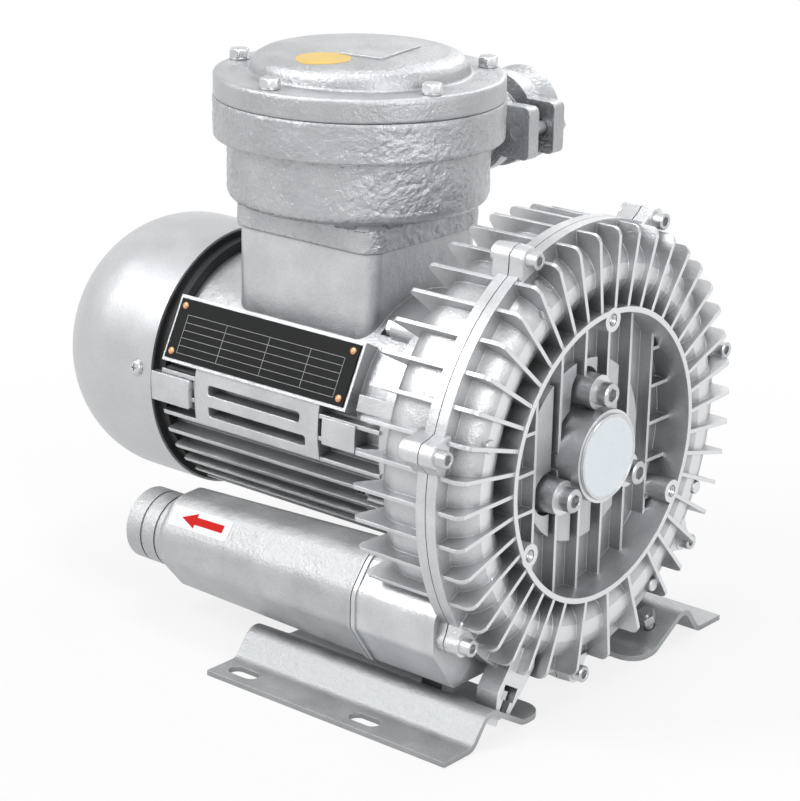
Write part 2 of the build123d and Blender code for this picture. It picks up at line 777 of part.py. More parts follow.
def pocket_outline(face_x, inward):
    """Blade pocket in section: a trough with sloping sides and a flat bottom."""
    bottom_x = face_x + inward * pocket_depth
    corners = [(face_x, channel_pitch_radius + pocket_half_height),
               (bottom_x, channel_pitch_radius + pocket_bottom_half_height),
               (bottom_x, channel_pitch_radius - pocket_bottom_half_height),
               (face_x, channel_pitch_radius - pocket_half_height)]
    return RADIAL * make_face(Polyline(*corners, close=True))


impeller = tube(impeller_rear_x, impeller_front_x, impeller_radius, ring_inner_radius)
for face_x, inward in ((impeller_rear_x, 1), (impeller_front_x, -1)):
    impeller -= revolve(pocket_outline(face_x, inward), SHAFT_AXIS)
    blade_depth = pocket_depth + blade_root - blade_setback
    blade = Pos(face_x + inward * (blade_setback + blade_depth / 2), 0, channel_pitch_radius) * Box(
        blade_depth, blade_thickness, 2 * (pocket_half_height + blade_root))
    impeller += [about_shaft(blade, k * 360 / blade_count) for k in range(blade_count)]
impeller += turned(
    (impeller_web_x, impeller_hub_radius - 2),
    (impeller_web_x + impeller_web_thickness, impeller_hub_radius - 2),
    (impeller_web_x + impeller_web_dish + impeller_web_thickness, ring_inner_radius + 1),
    (impeller_web_x + impeller_web_dish, ring_inner_radius + 1))
impeller += tube(impeller_seat_x, spacer_rear_x, impeller_hub_radius)
impeller -= tube(impeller_seat_x - 1, spacer_rear_x + 1, impeller_seat_radius + seat_gap)
impeller -= Pos(key_middle_x, 0, key_floor + key_height / 2) * Box(
    impeller_hub_length + 2, key_width, key_height)
write("impeller", lifted(impeller))

spacer = tube(spacer_rear_x, front_bearing_x, spacer_radius, bearing_bore_radius)
write("impeller_spacer", lifted(spacer))
end_washer_x = front_bearing_x + bearing_width
end_washer = tube(end_washer_x, end_washer_x + end_washer_thickness, end_washer_radius,
                  end_screw_radius + bolt_hole_gap)
write("shaft_end_washer", lifted(end_washer))
end_screw = socket_screw(end_washer_x + end_washer_thickness, end_screw_head_radius, end_screw_head_height,
                         end_screw_radius, end_screw_length, 0, 0)
write("shaft_end_screw", lifted(end_screw))

# Motor frame: finned tube with a front flange, screw bosses, the nameplate's pad and the square neck
frame_outer = frame_bore_radius + frame_wall
frame = tube(frame_rear_x, frame_front_x, frame_outer)
frame += tube(frame_front_x - frame_flange_length, frame_front_x, frame_flange_radius)
frame_fin_length = frame_front_x - frame_flange_length + 1 - frame_rear_x
frame_fin_middle = frame_rear_x + frame_fin_length / 2
frame_fin_height = frame_fin_radius - frame_outer + 2
frame_fin = Pos(frame_fin_middle, 0, frame_fin_radius - frame_fin_height / 2) * Box(
    frame_fin_length, frame_fin_thickness, frame_fin_height)
frame += [about_shaft(frame_fin, frame_fin_first_angle + k * frame_fin_pitch)
          for k in range(frame_fin_count)]
plate_middle_x = plate_rear_x + plate_length / 2
pad_height = pad_face_radius - frame_bore_radius - 1
pad = Pos(plate_middle_x, 0, pad_face_radius - pad_height / 2) * Box(
    plate_length + 2 * pad_margin, plate_width + 2 * pad_margin, pad_height)
frame += about_shaft(pad, plate_angle)
for k in range(4):
    frame += polar_rod(frame_rear_x, frame_rear_x + end_boss_length, end_boss_radius, end_screw_circle,
                       end_boss_angle + 90 * k)
    frame += polar_rod(frame_lug_rear_x, frame_front_x, frame_lug_radius, frame_screw_circle,
                       frame_lug_angle + 90 * k)
side_block_length = frame_front_x - side_block_rear_x
side_block_middle_x = side_block_rear_x + side_block_length / 2
side_block = Pos(side_block_middle_x, 0, side_block_top_radius - side_block_depth / 2) * Box(
    side_block_length, side_block_height, side_block_depth)
frame += about_shaft(side_block, side_block_angle)
frame += about_shaft(side_block, 180 - side_block_angle)
neck_bottom = frame_bore_radius / 2
neck_height = neck_top_z - axis_height - neck_bottom
neck = Pos(box_x, 0, neck_bottom) * extrude(
    RectangleRounded(2 * neck_half_x, 2 * neck_half_y, neck_corner), amount=neck_height)
frame += neck
frame -= tube(frame_rear_x - 1, frame_front_x + 1, frame_bore_radius)
frame -= rod_z(box_x, 0, 0, neck_top_z, neck_hole_radius)
for k in range(4):
    frame -= polar_rod(frame_rear_x - 1, frame_rear_x + shield_screw_grip, frame_screw_radius + thread_gap,
                       end_screw_circle, end_boss_angle + 90 * k)
    frame -= polar_rod(frame_lug_rear_x - 1, frame_front_x + 1, frame_screw_radius + bolt_hole_gap,
                       frame_screw_circle, frame_lug_angle + 90 * k)
    frame -= polar_rod(frame_lug_rear_x - 2 * frame_screw_head_height, frame_lug_rear_x,
                       frame_screw_head_radius + bolt_hole_gap, frame_screw_circle, frame_lug_angle + 90 * k)
box_screw_places = [(box_x + sx * box_screw_x, sy * box_screw_y) for sx in (-1, 1) for sy in (-1, 1)]
for x, y in box_screw_places:
    frame -= rod_z(x, y, neck_top_z - axis_height - box_screw_grip, neck_top_z - axis_height + 1,
                   box_screw_radius + thread_gap)
rivet_places = [(plate_middle_x + sx * (plate_length / 2 - rivet_inset),
                 sy * (plate_width / 2 - rivet_inset))
                for sx in (-1, 1) for sy in (-1, 1)]
for x, y in rivet_places:
    frame -= about_shaft(rod_z(x, y, pad_face_radius - rivet_length, pad_face_radius + 1,
                               rivet_radius + seat_gap), plate_angle)
write("motor_frame", lifted(frame))

plate = Pos(plate_middle_x, 0, pad_face_radius + plate_thickness / 2) * Box(
    plate_length, plate_width, plate_thickness)
rivets = []
for x, y in rivet_places:
    plate -= rod_z(x, y, pad_face_radius - 1, pad_face_radius + 2 * plate_thickness, rivet_radius + seat_gap)
    face_z = pad_face_radius + plate_thickness
    rivet = rod_z(x, y, face_z, face_z + rivet_head_height, rivet_head_radius)
    rivet += rod_z(x, y, pad_face_radius - rivet_length, face_z, rivet_radius)
    rivets.append(lifted(about_shaft(rivet, plate_angle)))
write("nameplate", lifted(about_shaft(plate, plate_angle)))
write("nameplate_rivets", *rivets)

# Stator and rotor
stator = tube(stator_rear_x, stator_front_x, frame_bore_radius - seat_gap, stator_bore_radius)
write("stator_core", lifted(stator))
windings = [tube(stator_rear_x - winding_length, stator_rear_x, winding_outer_radius, winding_inner_radius),
            tube(stator_front_x, stator_front_x + winding_length, winding_outer_radius,
                 winding_inner_radius)]
write("stator_windings", *[lifted(winding) for winding in windings])
rotor = tube(stator_rear_x, stator_front_x, stator_bore_radius - air_gap, rotor_seat_radius)
write("rotor_core", lifted(rotor))

# Rear end shield with its bearing housing and the seat of the fan cover
shield_back_x = frame_rear_x - shield_flange_thickness
washer_x = rear_bearing_x - wave_washer_thickness
hub_back_x = washer_x - shield_hub_back
cowl_seat_radius = cowl_radius - cowl_wall - seat_gap
shield = tube(shield_back_x, frame_rear_x, shield_flange_radius)
shield += tube(frame_rear_x, frame_rear_x + shield_spigot_length, frame_bore_radius - seat_gap,
               frame_bore_radius - shield_spigot_wall)
shield += tube(shield_back_x - cowl_seat_length, shield_back_x, cowl_seat_radius,
               cowl_seat_radius - cowl_seat_wall)
shield += tube(shield_back_x - 1, shield_back_x, cowl_seat_radius)
shield += tube(hub_back_x, frame_rear_x, bearing_outer_radius + shield_hub_wall)
shield -= tube(washer_x, frame_rear_x + 1, bearing_outer_radius + seat_gap)
shield -= tube(hub_back_x - 1, washer_x + 1, bearing_bore_radius + shaft_hole_gap)
for k in range(4):
    shield -= polar_rod(shield_back_x - 2, frame_rear_x + 1, frame_screw_radius + bolt_hole_gap,
                        end_screw_circle, end_boss_angle + 90 * k)
    shield -= polar_rod(shield_back_x - cowl_seat_length - 1, shield_back_x,
                        frame_screw_head_radius + bolt_hole_gap, end_screw_circle, end_boss_angle + 90 * k)
for angle in cowl_screw_angles:
    shield -= about_shaft(rod_z(cowl_screw_x, 0, cowl_seat_radius - cowl_seat_wall - 1, cowl_radius,
                                cowl_screw_radius + thread_gap), angle)
write("rear_end_shield", lifted(shield))
wave_washer = tube(washer_x, rear_bearing_x, bearing_outer_radius - seat_gap,
                   bearing_outer_radius - ring_land)
write("wave_washer", lifted(wave_washer))


def frame_screw(under_head_x, length, circle, angle):
    """Hexagon screw of the motor frame; its head lies behind the plane under_head_x."""
    turn = math.radians(angle)
    y = circle * math.cos(turn)
    z = circle * math.sin(turn)
    plane = Plane(origin=(under_head_x, y, z), x_dir=(0, 1, 0), z_dir=(1, 0, 0))
    head = extrude(plane * RegularPolygon(frame_screw_head_radius, 6), amount=-frame_screw_head_height)
    return lifted(head + rod_x(under_head_x, under_head_x + length, frame_screw_radius, y, z))


shield_screw_length = shield_flange_thickness + shield_screw_grip - 1
write("end_shield_screws", *[
    frame_screw(shield_back_x, shield_screw_length, end_screw_circle, end_boss_angle + 90 * k)
    for k in range(4)])
frame_screw_length = frame_front_x - frame_lug_rear_x + frame_screw_grip - 1
write("frame_screws", *[
    frame_screw(frame_lug_rear_x, frame_screw_length, frame_screw_circle, frame_lug_angle + 90 * k)
    for k in range(4)])

# Cooling fan, its circlip and the fan cover with a ring grille
fan_rear_x = fan_front_x - fan_hub_length
fan = tube(fan_rear_x, fan_front_x, fan_hub_radius, fan_seat_radius + seat_gap)
fan += tube(fan_front_x - fan_disc_thickness, fan_front_x, fan_disc_radius, fan_seat_radius + seat_gap)
fan_blade = Pos((fan_rear_x + fan_front_x) / 2, 0, (fan_hub_radius + fan_disc_radius) / 2 - 0.5) * Box(
    fan_hub_length, fan_blade_thickness, fan_disc_radius - fan_hub_radius + 1)
fan += [about_shaft(fan_blade, k * 360 / fan_blade_count) for k in range(fan_blade_count)]
write("cooling_fan", lifted(fan))
clip = tube(clip_x, clip_x + clip_thickness, clip_radius, fan_seat_radius - clip_groove_depth)
clip -= Pos(clip_x, 0, clip_radius) * Box(4 * clip_thickness, clip_radius / 2, clip_radius)
write("fan_circlip", lifted(clip))


def cowl_outline(inset):
    """Closed outline of the fan cover's skin, a cylinder that ends in a crown of one large radius."""
    radius = cowl_radius - inset
    crown = cowl_crown_radius - inset
    centre_x = cowl_end_x + cowl_crown_radius
    flat_radius = cowl_radius - cowl_crown_radius
    slant = math.radians(45)
    middle = (centre_x - crown * math.cos(slant), flat_radius + crown * math.sin(slant))
    wall = Line((cowl_rim_x, 0), (cowl_rim_x, radius)) + Line((cowl_rim_x, radius), (centre_x, radius))
    wall += ThreePointArc((centre_x, radius), middle, (centre_x - crown, flat_radius))
    wall += Line((centre_x - crown, flat_radius), (centre_x - crown, 0))
    wall += Line((centre_x - crown, 0), (cowl_rim_x, 0))
    return RADIAL * make_face(wall)


cowl = revolve(cowl_outline(0.0), SHAFT_AXIS) - revolve(cowl_outline(cowl_wall), SHAFT_AXIS)
bridges = Box(2 * abs(cowl_end_x), grille_bridge, 4 * cowl_radius)
bridges += Box(2 * abs(cowl_end_x), 4 * cowl_radius, grille_bridge)
for ring in range(grille_rings):
    ring_radius = grille_first_radius + ring * grille_pitch
    slot_ring = tube(cowl_end_x - 1, cowl_end_x + cowl_crown_radius, ring_radius + grille_slot, ring_radius)
    cowl -= slot_ring - bridges
for angle in cowl_screw_angles:
    cowl -= about_shaft(rod_z(cowl_screw_x, 0, cowl_radius / 2, 2 * cowl_radius,
                              cowl_screw_radius + bolt_hole_gap / 2), angle)
write("fan_cover", lifted(cowl))
cowl_screws = []
for angle in cowl_screw_angles:
    screw = rod_z(cowl_screw_x, 0, cowl_seat_radius - cowl_seat_wall, cowl_radius, cowl_screw_radius)
    screw += rod_z(cowl_screw_x, 0, cowl_radius, cowl_radius + cowl_screw_head_height,
                   cowl_screw_head_radius)
    cowl_screws.append(lifted(about_shaft(screw, angle)))
write("fan_cover_screws", *cowl_screws)

# Terminal box: square base, round body, top flange and the cable entry with its ears
base_half_x = neck_half_x + box_ledge
base_half_y = neck_half_y + box_ledge
base_sketch = RectangleRounded(2 * base_half_x, 2 * base_half_y, neck_corner + box_ledge)
terminal_box = Pos(box_x, 0, box_bottom_z) * extrude(base_sketch, amount=box_base_height)
terminal_box += box_turned((0, box_round_z), (box_radius - box_edge_round, box_round_z),
                           (box_radius, box_round_z + box_edge_round), (box_radius, box_flange_z),
                           (box_flange_radius, box_flange_z), (box_flange_radius, box_top_z), (0, box_top_z))


def entry_plane(y):
    """Plane across the cable entry's axis, its normal along +Y."""
    return Plane(origin=(box_x, y, entry_z), x_dir=(-1, 0, 0), z_dir=(0, 1, 0))


def entry_rod(y0, y1, radius, x=0.0):
    """Rod along the cable entry."""
    return extrude(entry_plane(y0) * Pos(x, 0) * Circle(radius), amount=y1 - y0)


def ear_flange(y, thickness):
    """Round flange with two square ears for the screws of the cable entry."""
    outline = RectangleRounded(2 * ear_half_length, ear_height, ear_corner) + Circle(ear_disc_radius)
    return extrude(entry_plane(y) * outline, amount=thickness)


entry_face_y = entry_flange_y + entry_flange_thickness
box_cavity_radius = box_radius - box_wall
terminal_box += entry_rod(box_cavity_radius, entry_flange_y + 1, entry_boss_radius)
terminal_box += ear_flange(entry_flange_y, entry_flange_thickness)
terminal_box -= Pos(box_x, 0, box_floor_z) * extrude(
    RectangleRounded(2 * (base_half_x - box_wall), 2 * (base_half_y - box_wall), neck_corner),
    amount=box_flange_z - box_floor_z)
terminal_box -= box_turned((0, box_round_z + box_edge_round),
                           (box_cavity_radius, box_round_z + box_edge_round),
                           (box_cavity_radius, box_top_z + 1), (0, box_top_z + 1))
terminal_box -= rod_z(box_x, 0, box_bottom_z - 1, box_floor_z + 1, neck_hole_radius)
terminal_box -= entry_rod(0, entry_face_y, entry_hole_radius)
terminal_box -= entry_rod(entry_face_y - entry_chamber_depth, entry_face_y + 1, entry_chamber_radius)
for x in (-ear_screw_offset, ear_screw_offset):
    terminal_box -= entry_rod(entry_flange_y - 1, entry_face_y + 1, gland_screw_radius + thread_gap, x)
for x, y in box_screw_places:
    terminal_box -= rod_z(x, y, box_bottom_z - 1, box_floor_z + 1, box_screw_radius + bolt_hole_gap)
lid_screw_places = [(box_x + lid_screw_circle * math.cos(math.radians(-90 + 72 * k)),
                     lid_screw_circle * math.sin(math.radians(-90 + 72 * k)))
                    for k in range(lid_screw_count)]
for x, y in lid_screw_places:
    terminal_box -= rod_z(x, y, box_top_z - lid_screw_depth, box_top_z + 1, lid_screw_radius + thread_gap)
terminal_box -= box_turned((lid_seal_radius, box_top_z - lid_seal_depth),
                           (lid_seal_radius + lid_seal_width, box_top_z - lid_seal_depth),
                           (lid_seal_radius + lid_seal_width, box_top_z + 1),
                           (lid_seal_radius, box_top_z + 1))
earth_place = (box_x, -earth_screw_y)
terminal_box -= rod_z(earth_place[0], earth_place[1], box_floor_z - earth_screw_sink - 1, box_floor_z + 1,
                      earth_screw_radius + thread_gap)
write("terminal_box", terminal_box)

box_gasket = Pos(box_x, 0, neck_top_z) * extrude(
    RectangleRounded(2 * neck_half_x, 2 * neck_half_y, neck_corner), amount=box_gasket_thickness)
box_gasket -= rod_z(box_x, 0, neck_top_z - 1, box_bottom_z + 1, neck_hole_radius)
box_screws = []
for x, y in box_screw_places:
    box_gasket -= rod_z(x, y, neck_top_z - 1, box_bottom_z + 1, box_screw_radius + bolt_hole_gap)
    screw = rod_z(x, y, neck_top_z - box_screw_grip + 1, box_floor_z, box_screw_radius)
    box_screws.append(screw + hexagon_z(x, y, box_floor_z, box_floor_z + box_screw_head_height,
                                        box_screw_head_radius))
write("box_gasket", box_gasket)
write("box_screws", *box_screws)

lid_seal = box_turned((lid_seal_radius + seat_gap, box_top_z - lid_seal_depth),
                      (lid_seal_radius + lid_seal_width - seat_gap, box_top_z - lid_seal_depth),
                      (lid_seal_radius + lid_seal_width - seat_gap, box_top_z),
                      (lid_seal_radius + seat_gap, box_top_z))
write("lid_seal", lid_seal)


def dome_outline(radius, base_z, height, edge_round):
    """Half outline of the lid's dome: upright edge, round shoulder and a slightly crowned top."""
    shoulder_z = base_z + height - edge_round
    slant = math.radians(45)
    middle = (radius - edge_round + edge_round * math.sin(slant), shoulder_z + edge_round * math.cos(slant))
    flat = radius - edge_round
    crown_radius = (flat ** 2 + dome_crown ** 2) / (2 * dome_crown)
    half_turn = math.asin(flat / crown_radius) / 2
    crown_z = base_z + height + dome_crown
    crown_middle = (crown_radius * math.sin(half_turn), crown_z - crown_radius * (1 - math.cos(half_turn)))
    line = Line((0, base_z), (radius, base_z)) + Line((radius, base_z), (radius, shoulder_z))
    line += ThreePointArc((radius, shoulder_z), middle, (flat, base_z + height))
    line += ThreePointArc((flat, base_z + height), crown_middle, (0, crown_z))
    line += Line((0, crown_z), (0, base_z))
    return BOX_RADIAL * make_face(line)


lid = box_turned((0, box_top_z), (lid_radius, box_top_z), (lid_radius, lid_top_z), (0, lid_top_z))
lid += revolve(dome_outline(dome_radius, lid_top_z - 1, dome_height + 1, dome_edge_round), BOX_AXIS)
lid -= revolve(dome_outline(dome_radius - lid_wall, box_top_z - 1,
                            lid_thickness + dome_height + 1 - lid_wall,
                            dome_edge_round - lid_wall / 2), BOX_AXIS)
lid_screws = []
for x, y in lid_screw_places:
    lid -= rod_z(x, y, box_top_z - 1, lid_top_z + 1, lid_screw_radius + bolt_hole_gap)
    screw = rod_z(x, y, box_top_z - lid_screw_depth + 1, lid_top_z, lid_screw_radius)
    head = hexagon_z(x, y, lid_top_z, lid_top_z + lid_screw_head_height, lid_screw_head_radius)
    lid_screws.append(screw + head)
write("terminal_lid", lid)
write("lid_screws", *lid_screws)

# Terminal block with six studs, and the earth screw
bars = Pos(box_x, 0, box_floor_z + block_height / 2) * Box(block_length, block_width, block_height)
block_top_z = box_floor_z + block_height
studs = []
for column in (-1, 0, 1):
    for row in (-0.5, 0.5):
        x = box_x + column * stud_pitch_x
        y = row * stud_pitch_y
        bars -= rod_z(x, y, block_top_z - stud_sink, block_top_z + 1, stud_radius + thread_gap)
        stud = rod_z(x, y, block_top_z - stud_sink, block_top_z + stud_height, stud_radius)
        studs.append(stud + hexagon_z(x, y, block_top_z, block_top_z + stud_nut_height, stud_nut_radius))
write("terminal_block", bars)
write("terminal_studs", *studs)
earth = rod_z(*earth_place, box_floor_z - earth_screw_sink, box_floor_z + earth_screw_length,
              earth_screw_radius)
earth += hexagon_z(*earth_place, box_floor_z, box_floor_z + earth_head_height, earth_head_radius)
write("earth_screw", earth)

# Cable entry: rubber ring, washer and the trumpet that squeezes them, drawn in by two screws
gland_face_y = entry_face_y + ear_gap
seal_start_y = entry_face_y - entry_chamber_depth
seal_end_y = seal_start_y + gland_seal_length
gland_seal = entry_rod(seal_start_y, seal_end_y, entry_chamber_radius - seat_gap)
gland_seal -= entry_rod(seal_start_y - 1, seal_end_y + 1, gland_seal_bore)
write("gland_seal", gland_seal)
gland_washer = entry_rod(seal_end_y, seal_end_y + gland_washer_thickness, entry_chamber_radius - seat_gap)
gland_washer -= entry_rod(seal_end_y - 1, seal_end_y + gland_washer_thickness + 1, gland_bore_radius)
write("gland_washer", gland_washer)
gland_back_y = gland_face_y + gland_flange_thickness
gland_end_y = gland_back_y + gland_length
gland = ear_flange(gland_face_y, gland_flange_thickness)
gland += entry_rod(seal_end_y + gland_washer_thickness, gland_face_y + 1,
                   entry_chamber_radius - gland_sleeve_gap)
horn_plane = Plane(origin=(box_x, 0, entry_z), x_dir=(0, 1, 0), z_dir=(1, 0, 0))
horn_axis = Axis((box_x, 0, entry_z), (0, 1, 0))
horn = make_face(Polyline((gland_back_y - 1, 0), (gland_back_y - 1, gland_waist_radius),
                          (gland_back_y + gland_length / 3, gland_waist_radius),
                          (gland_end_y - horn_edge_length, ear_disc_radius), (gland_end_y, ear_disc_radius),
                          (gland_end_y, 0), close=True))
gland += revolve(horn_plane * horn, horn_axis)
mouth = make_face(Polyline((gland_back_y, 0), (gland_back_y, gland_bore_radius),
                           (gland_end_y, gland_mouth_radius), (gland_end_y + 1, gland_mouth_radius),
                           (gland_end_y + 1, 0), close=True))
gland -= revolve(horn_plane * mouth, horn_axis)
gland -= entry_rod(entry_flange_y, gland_end_y, gland_bore_radius)
gland_screws = []
for x in (-ear_screw_offset, ear_screw_offset):
    gland -= entry_rod(gland_face_y - 1, gland_back_y + 1, gland_screw_radius + bolt_hole_gap, x)
    screw = entry_rod(entry_flange_y, gland_back_y, gland_screw_radius, x)
    head = entry_plane(gland_back_y) * Pos(x, 0) * RegularPolygon(gland_screw_head_radius, 6)
    gland_screws.append(screw + extrude(head, amount=gland_screw_head_height))
for x in (-ear_screw_offset, ear_screw_offset):
    gland -= entry_rod(gland_back_y, gland_end_y + 1, gland_screw_head_radius + bolt_hole_gap, x)
write("gland_body", gland)
write("gland_screws", *gland_screws)

# Silencers with their hose spigots, gaskets, foam and screws
gaskets = []
foams = []
silencer_screws = []
for side, name in ((-1, "left_silencer"), (1, "right_silencer")):
    sections = Sketch() + [duct_plane(silencer_front_x, side) * duct_section(front_section, side),
                           duct_plane(silencer_rear_x, side) * duct_section(rear_section, side)]
    body = loft(sections)
    nose = Sketch() + [duct_plane(silencer_rear_x, side) * duct_section(rear_section, side),
                       duct_plane(silencer_nose_x, side) * duct_section(rear_section, side, 0.0,
                                                                       silencer_nose_scale)]
    body += loft(nose)
    lip = duct_section(front_section, side, lip_height)
    body += extrude(duct_plane(silencer_front_x - lip_length, side) * lip, amount=lip_length)
    body += duct_rod(spigot_end_x, silencer_rear_x, spigot_radius, side)
    for u, v in ear_places:
        body += duct_rod(silencer_front_x - silencer_ear_length, silencer_front_x, silencer_ear_radius,
                         side, u, v)
    body -= duct_rod(spigot_end_x - 1, silencer_front_x + 1, spigot_bore_radius, side)
    body -= duct_rod(silencer_chamber_rear_x, silencer_front_x + 1, silencer_chamber_radius, side)
    for groove_x in spigot_groove_xs:
        groove = duct_rod(groove_x, groove_x + spigot_groove_width, spigot_radius + 1, side)
        body -= groove - duct_rod(groove_x - 1, groove_x + 3, spigot_radius - spigot_groove_depth, side)
    sheet = extrude(duct_plane(silencer_front_x, side) * duct_section(front_section, side),
                    amount=silencer_gasket_thickness)
    sheet -= duct_rod(silencer_front_x - 1, stub_rear_x + 1, silencer_chamber_radius, side)
    for u, v in ear_places:
        sheet += duct_rod(silencer_front_x, stub_rear_x, silencer_ear_radius, side, u, v)
    for u, v in ear_places:
        head_x = silencer_front_x - silencer_ear_length
        sheet -= duct_rod(silencer_front_x - 1, stub_rear_x + 1, silencer_screw_radius + bolt_hole_gap,
                          side, u, v)
        body -= duct_rod(head_x - 1, silencer_front_x + 1, silencer_screw_radius + bolt_hole_gap, side, u, v)
        body -= duct_rod(head_x - 2 * silencer_screw_head_height, head_x,
                         silencer_screw_head_radius + bolt_hole_gap, side, u, v)
        screw = duct_rod(head_x - silencer_screw_head_height, head_x, silencer_screw_head_radius, side, u, v)
        screw += duct_rod(head_x, stub_rear_x + silencer_ear_length - silencer_screw_tip_gap,
                          silencer_screw_radius, side, u, v)
        silencer_screws.append(lifted(screw))
    foam = duct_rod(silencer_chamber_rear_x, silencer_front_x, silencer_chamber_radius - seat_gap, side)
    foam -= duct_rod(silencer_chamber_rear_x - 1, silencer_front_x + 1, foam_bore_radius, side)
    foams.append(lifted(foam))
    gaskets.append(lifted(sheet))
    write(name, lifted(body))
write("silencer_gaskets", *gaskets)
write("silencer_foam", *foams)
write("silencer_screws", *silencer_screws)


# Feet: one folded section, cut to length, with two slots and two bolt holes
def fold_line(offset_by):
    """The foot's fold line moved square off the sheet, as (y, z) corners from the outer edge inward."""
    rise = math.radians(foot_ramp_angle)
    half = foot_thickness / 2
    hump_z = half + (foot_hump_y - foot_inner_bend_y) * math.tan(rise)
    fall = math.atan2(hump_z - half, foot_outer_bend_y - foot_hump_y)
    outer_shift = offset_by * math.tan(fall / 2)
    inner_shift = offset_by * math.tan(rise / 2)
    turn = (rise + fall) / 2
    reach = offset_by / math.cos(turn)
    lean = (fall - rise) / 2
    return [(foot_outer_y, half + offset_by), (foot_outer_bend_y + outer_shift, half + offset_by),
            (foot_hump_y + reach * math.sin(lean), hump_z + reach * math.cos(lean)),
            (foot_inner_bend_y - inner_shift, half + offset_by), (foot_inner_y, half + offset_by)]


def foot(side):
    """One rail: the folded section pushed along X, with rounded inner corners."""
    half = foot_thickness / 2
    upper_rounds = [foot_bend_rounds[0] - half, foot_bend_rounds[1] + half, foot_bend_rounds[2] - half]
    lower_rounds = [foot_bend_rounds[0] + half, foot_bend_rounds[1] - half, foot_bend_rounds[2] + half]
    upper = fold_line(half)
    lower = fold_line(-half)
    line = FilletPolyline(*upper, radius=upper_rounds)
    line += Line(upper[-1], lower[-1])
    line += FilletPolyline(*lower[::-1], radius=lower_rounds[::-1])
    line += Line(lower[0], upper[0])
    plane = Plane(origin=(foot_rear_x, 0, 0), x_dir=(0, 1, 0), z_dir=(1, 0, 0))
    rail = extrude(plane * make_face(line), amount=foot_front_x - foot_rear_x)
    reach = foot_outer_y - foot_inner_y
    trim = Pos((foot_front_x + foot_rear_x) / 2, foot_inner_y + reach) * RectangleRounded(
        foot_front_x - foot_rear_x, 2 * reach, foot_corner)
    rail &= extrude(trim, amount=axis_height)
    for x in (-slot_x, slot_x):
        rail -= Pos(x, slot_y, -1) * extrude(SlotOverall(slot_length, slot_width), amount=foot_thickness + 2)
    for bolt_x in foot_bolt_xs:
        hole = ramp_frame(bolt_x, foot_bolt_y, -foot_thickness - 1, 1)
        rail -= extrude(hole * Circle(foot_bolt_radius + bolt_hole_gap), amount=foot_thickness + 2)
    return rail if side > 0 else mirror(rail, about=Plane.XZ)


foot_bolt_xs = (front_leg_front_x - foot_bolt_inset, rear_leg_xs[0] + foot_bolt_inset)
foot_bolts = []
foot_nuts = []
foot_washers = []
for side, name in ((-1, "left_foot"), (1, "right_foot")):
    write(name, foot(side))
    for x in foot_bolt_xs:
        under = -foot_thickness - washer_thickness
        head = ramp_frame(x, foot_bolt_y, under, side)
        bolt = extrude(head * RegularPolygon(foot_bolt_head_radius, 6), amount=-foot_bolt_head_height)
        bolt += extrude(head * Circle(foot_bolt_radius), amount=leg_sole + nut_height - under + 1)
        foot_bolts.append(bolt)
        washer = ramp_frame(x, foot_bolt_y, under, side)
        ring = Circle(washer_radius) - Circle(foot_bolt_radius + thread_gap)
        foot_washers.append(extrude(washer * ring, amount=washer_thickness))
        seat = ramp_frame(x, foot_bolt_y, leg_sole, side)
        nut = RegularPolygon(nut_radius, 6) - Circle(foot_bolt_radius + thread_gap)
        foot_nuts.append(extrude(seat * nut, amount=nut_height))
write("foot_bolts", *foot_bolts)
write("foot_nuts", *foot_nuts)
write("foot_washers", *foot_washers)
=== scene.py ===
import math

import bmesh
import bpy
import numpy as np
from mathutils import Matrix, Vector


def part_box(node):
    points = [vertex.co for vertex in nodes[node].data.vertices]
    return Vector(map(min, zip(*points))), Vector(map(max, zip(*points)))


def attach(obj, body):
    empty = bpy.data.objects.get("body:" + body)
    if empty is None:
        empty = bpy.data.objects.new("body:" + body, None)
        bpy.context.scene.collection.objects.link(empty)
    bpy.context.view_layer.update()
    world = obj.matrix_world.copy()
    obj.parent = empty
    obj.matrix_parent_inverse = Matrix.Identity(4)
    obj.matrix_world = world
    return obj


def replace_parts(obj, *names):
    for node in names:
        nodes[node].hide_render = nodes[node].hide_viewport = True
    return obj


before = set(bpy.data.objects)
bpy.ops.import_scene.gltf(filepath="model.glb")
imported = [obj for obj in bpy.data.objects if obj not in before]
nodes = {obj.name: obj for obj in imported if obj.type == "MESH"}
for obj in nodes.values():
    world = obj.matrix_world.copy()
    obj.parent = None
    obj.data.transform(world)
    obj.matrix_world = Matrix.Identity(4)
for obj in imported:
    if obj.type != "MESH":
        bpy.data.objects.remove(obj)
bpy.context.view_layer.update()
root_body = "stator_side"

# The camera stands where the photographer's did: to the left of the cover and a little above it,
# with a long lens, and rolled by about a degree. The shaft lies along X at the shaft height.
shaft_height = 0.1345
camera_turn = math.radians(39.45)
camera_rise = math.radians(18.44)
camera_roll = math.radians(1.2)
camera_distance = 1.39372
camera_aim = np.array([-0.03309, 0.0, 0.133])
camera_lens = 112.2
backward = np.array([math.sin(camera_turn) * math.cos(camera_rise),
                     -math.cos(camera_turn) * math.cos(camera_rise), math.sin(camera_rise)])
level_right = np.array([math.cos(camera_turn), math.sin(camera_turn), 0.0])
level_up = np.cross(backward, level_right)
roll_cos, roll_sin = math.cos(camera_roll), math.sin(camera_roll)
rolled_right = roll_cos * level_right + roll_sin * level_up
rolled_up = roll_cos * level_up - roll_sin * level_right
camera_data = bpy.data.cameras.new("camera")
camera_data.lens = camera_lens
camera = bpy.data.objects.new("camera", camera_data)
bpy.context.scene.collection.objects.link(camera)
camera_place = np.eye(4)
camera_place[:3, 0] = rolled_right
camera_place[:3, 1] = rolled_up
camera_place[:3, 2] = backward
camera_place[:3, 3] = camera_aim + camera_distance * backward
camera.matrix_world = Matrix(camera_place.tolist())
bpy.context.scene.camera = camera
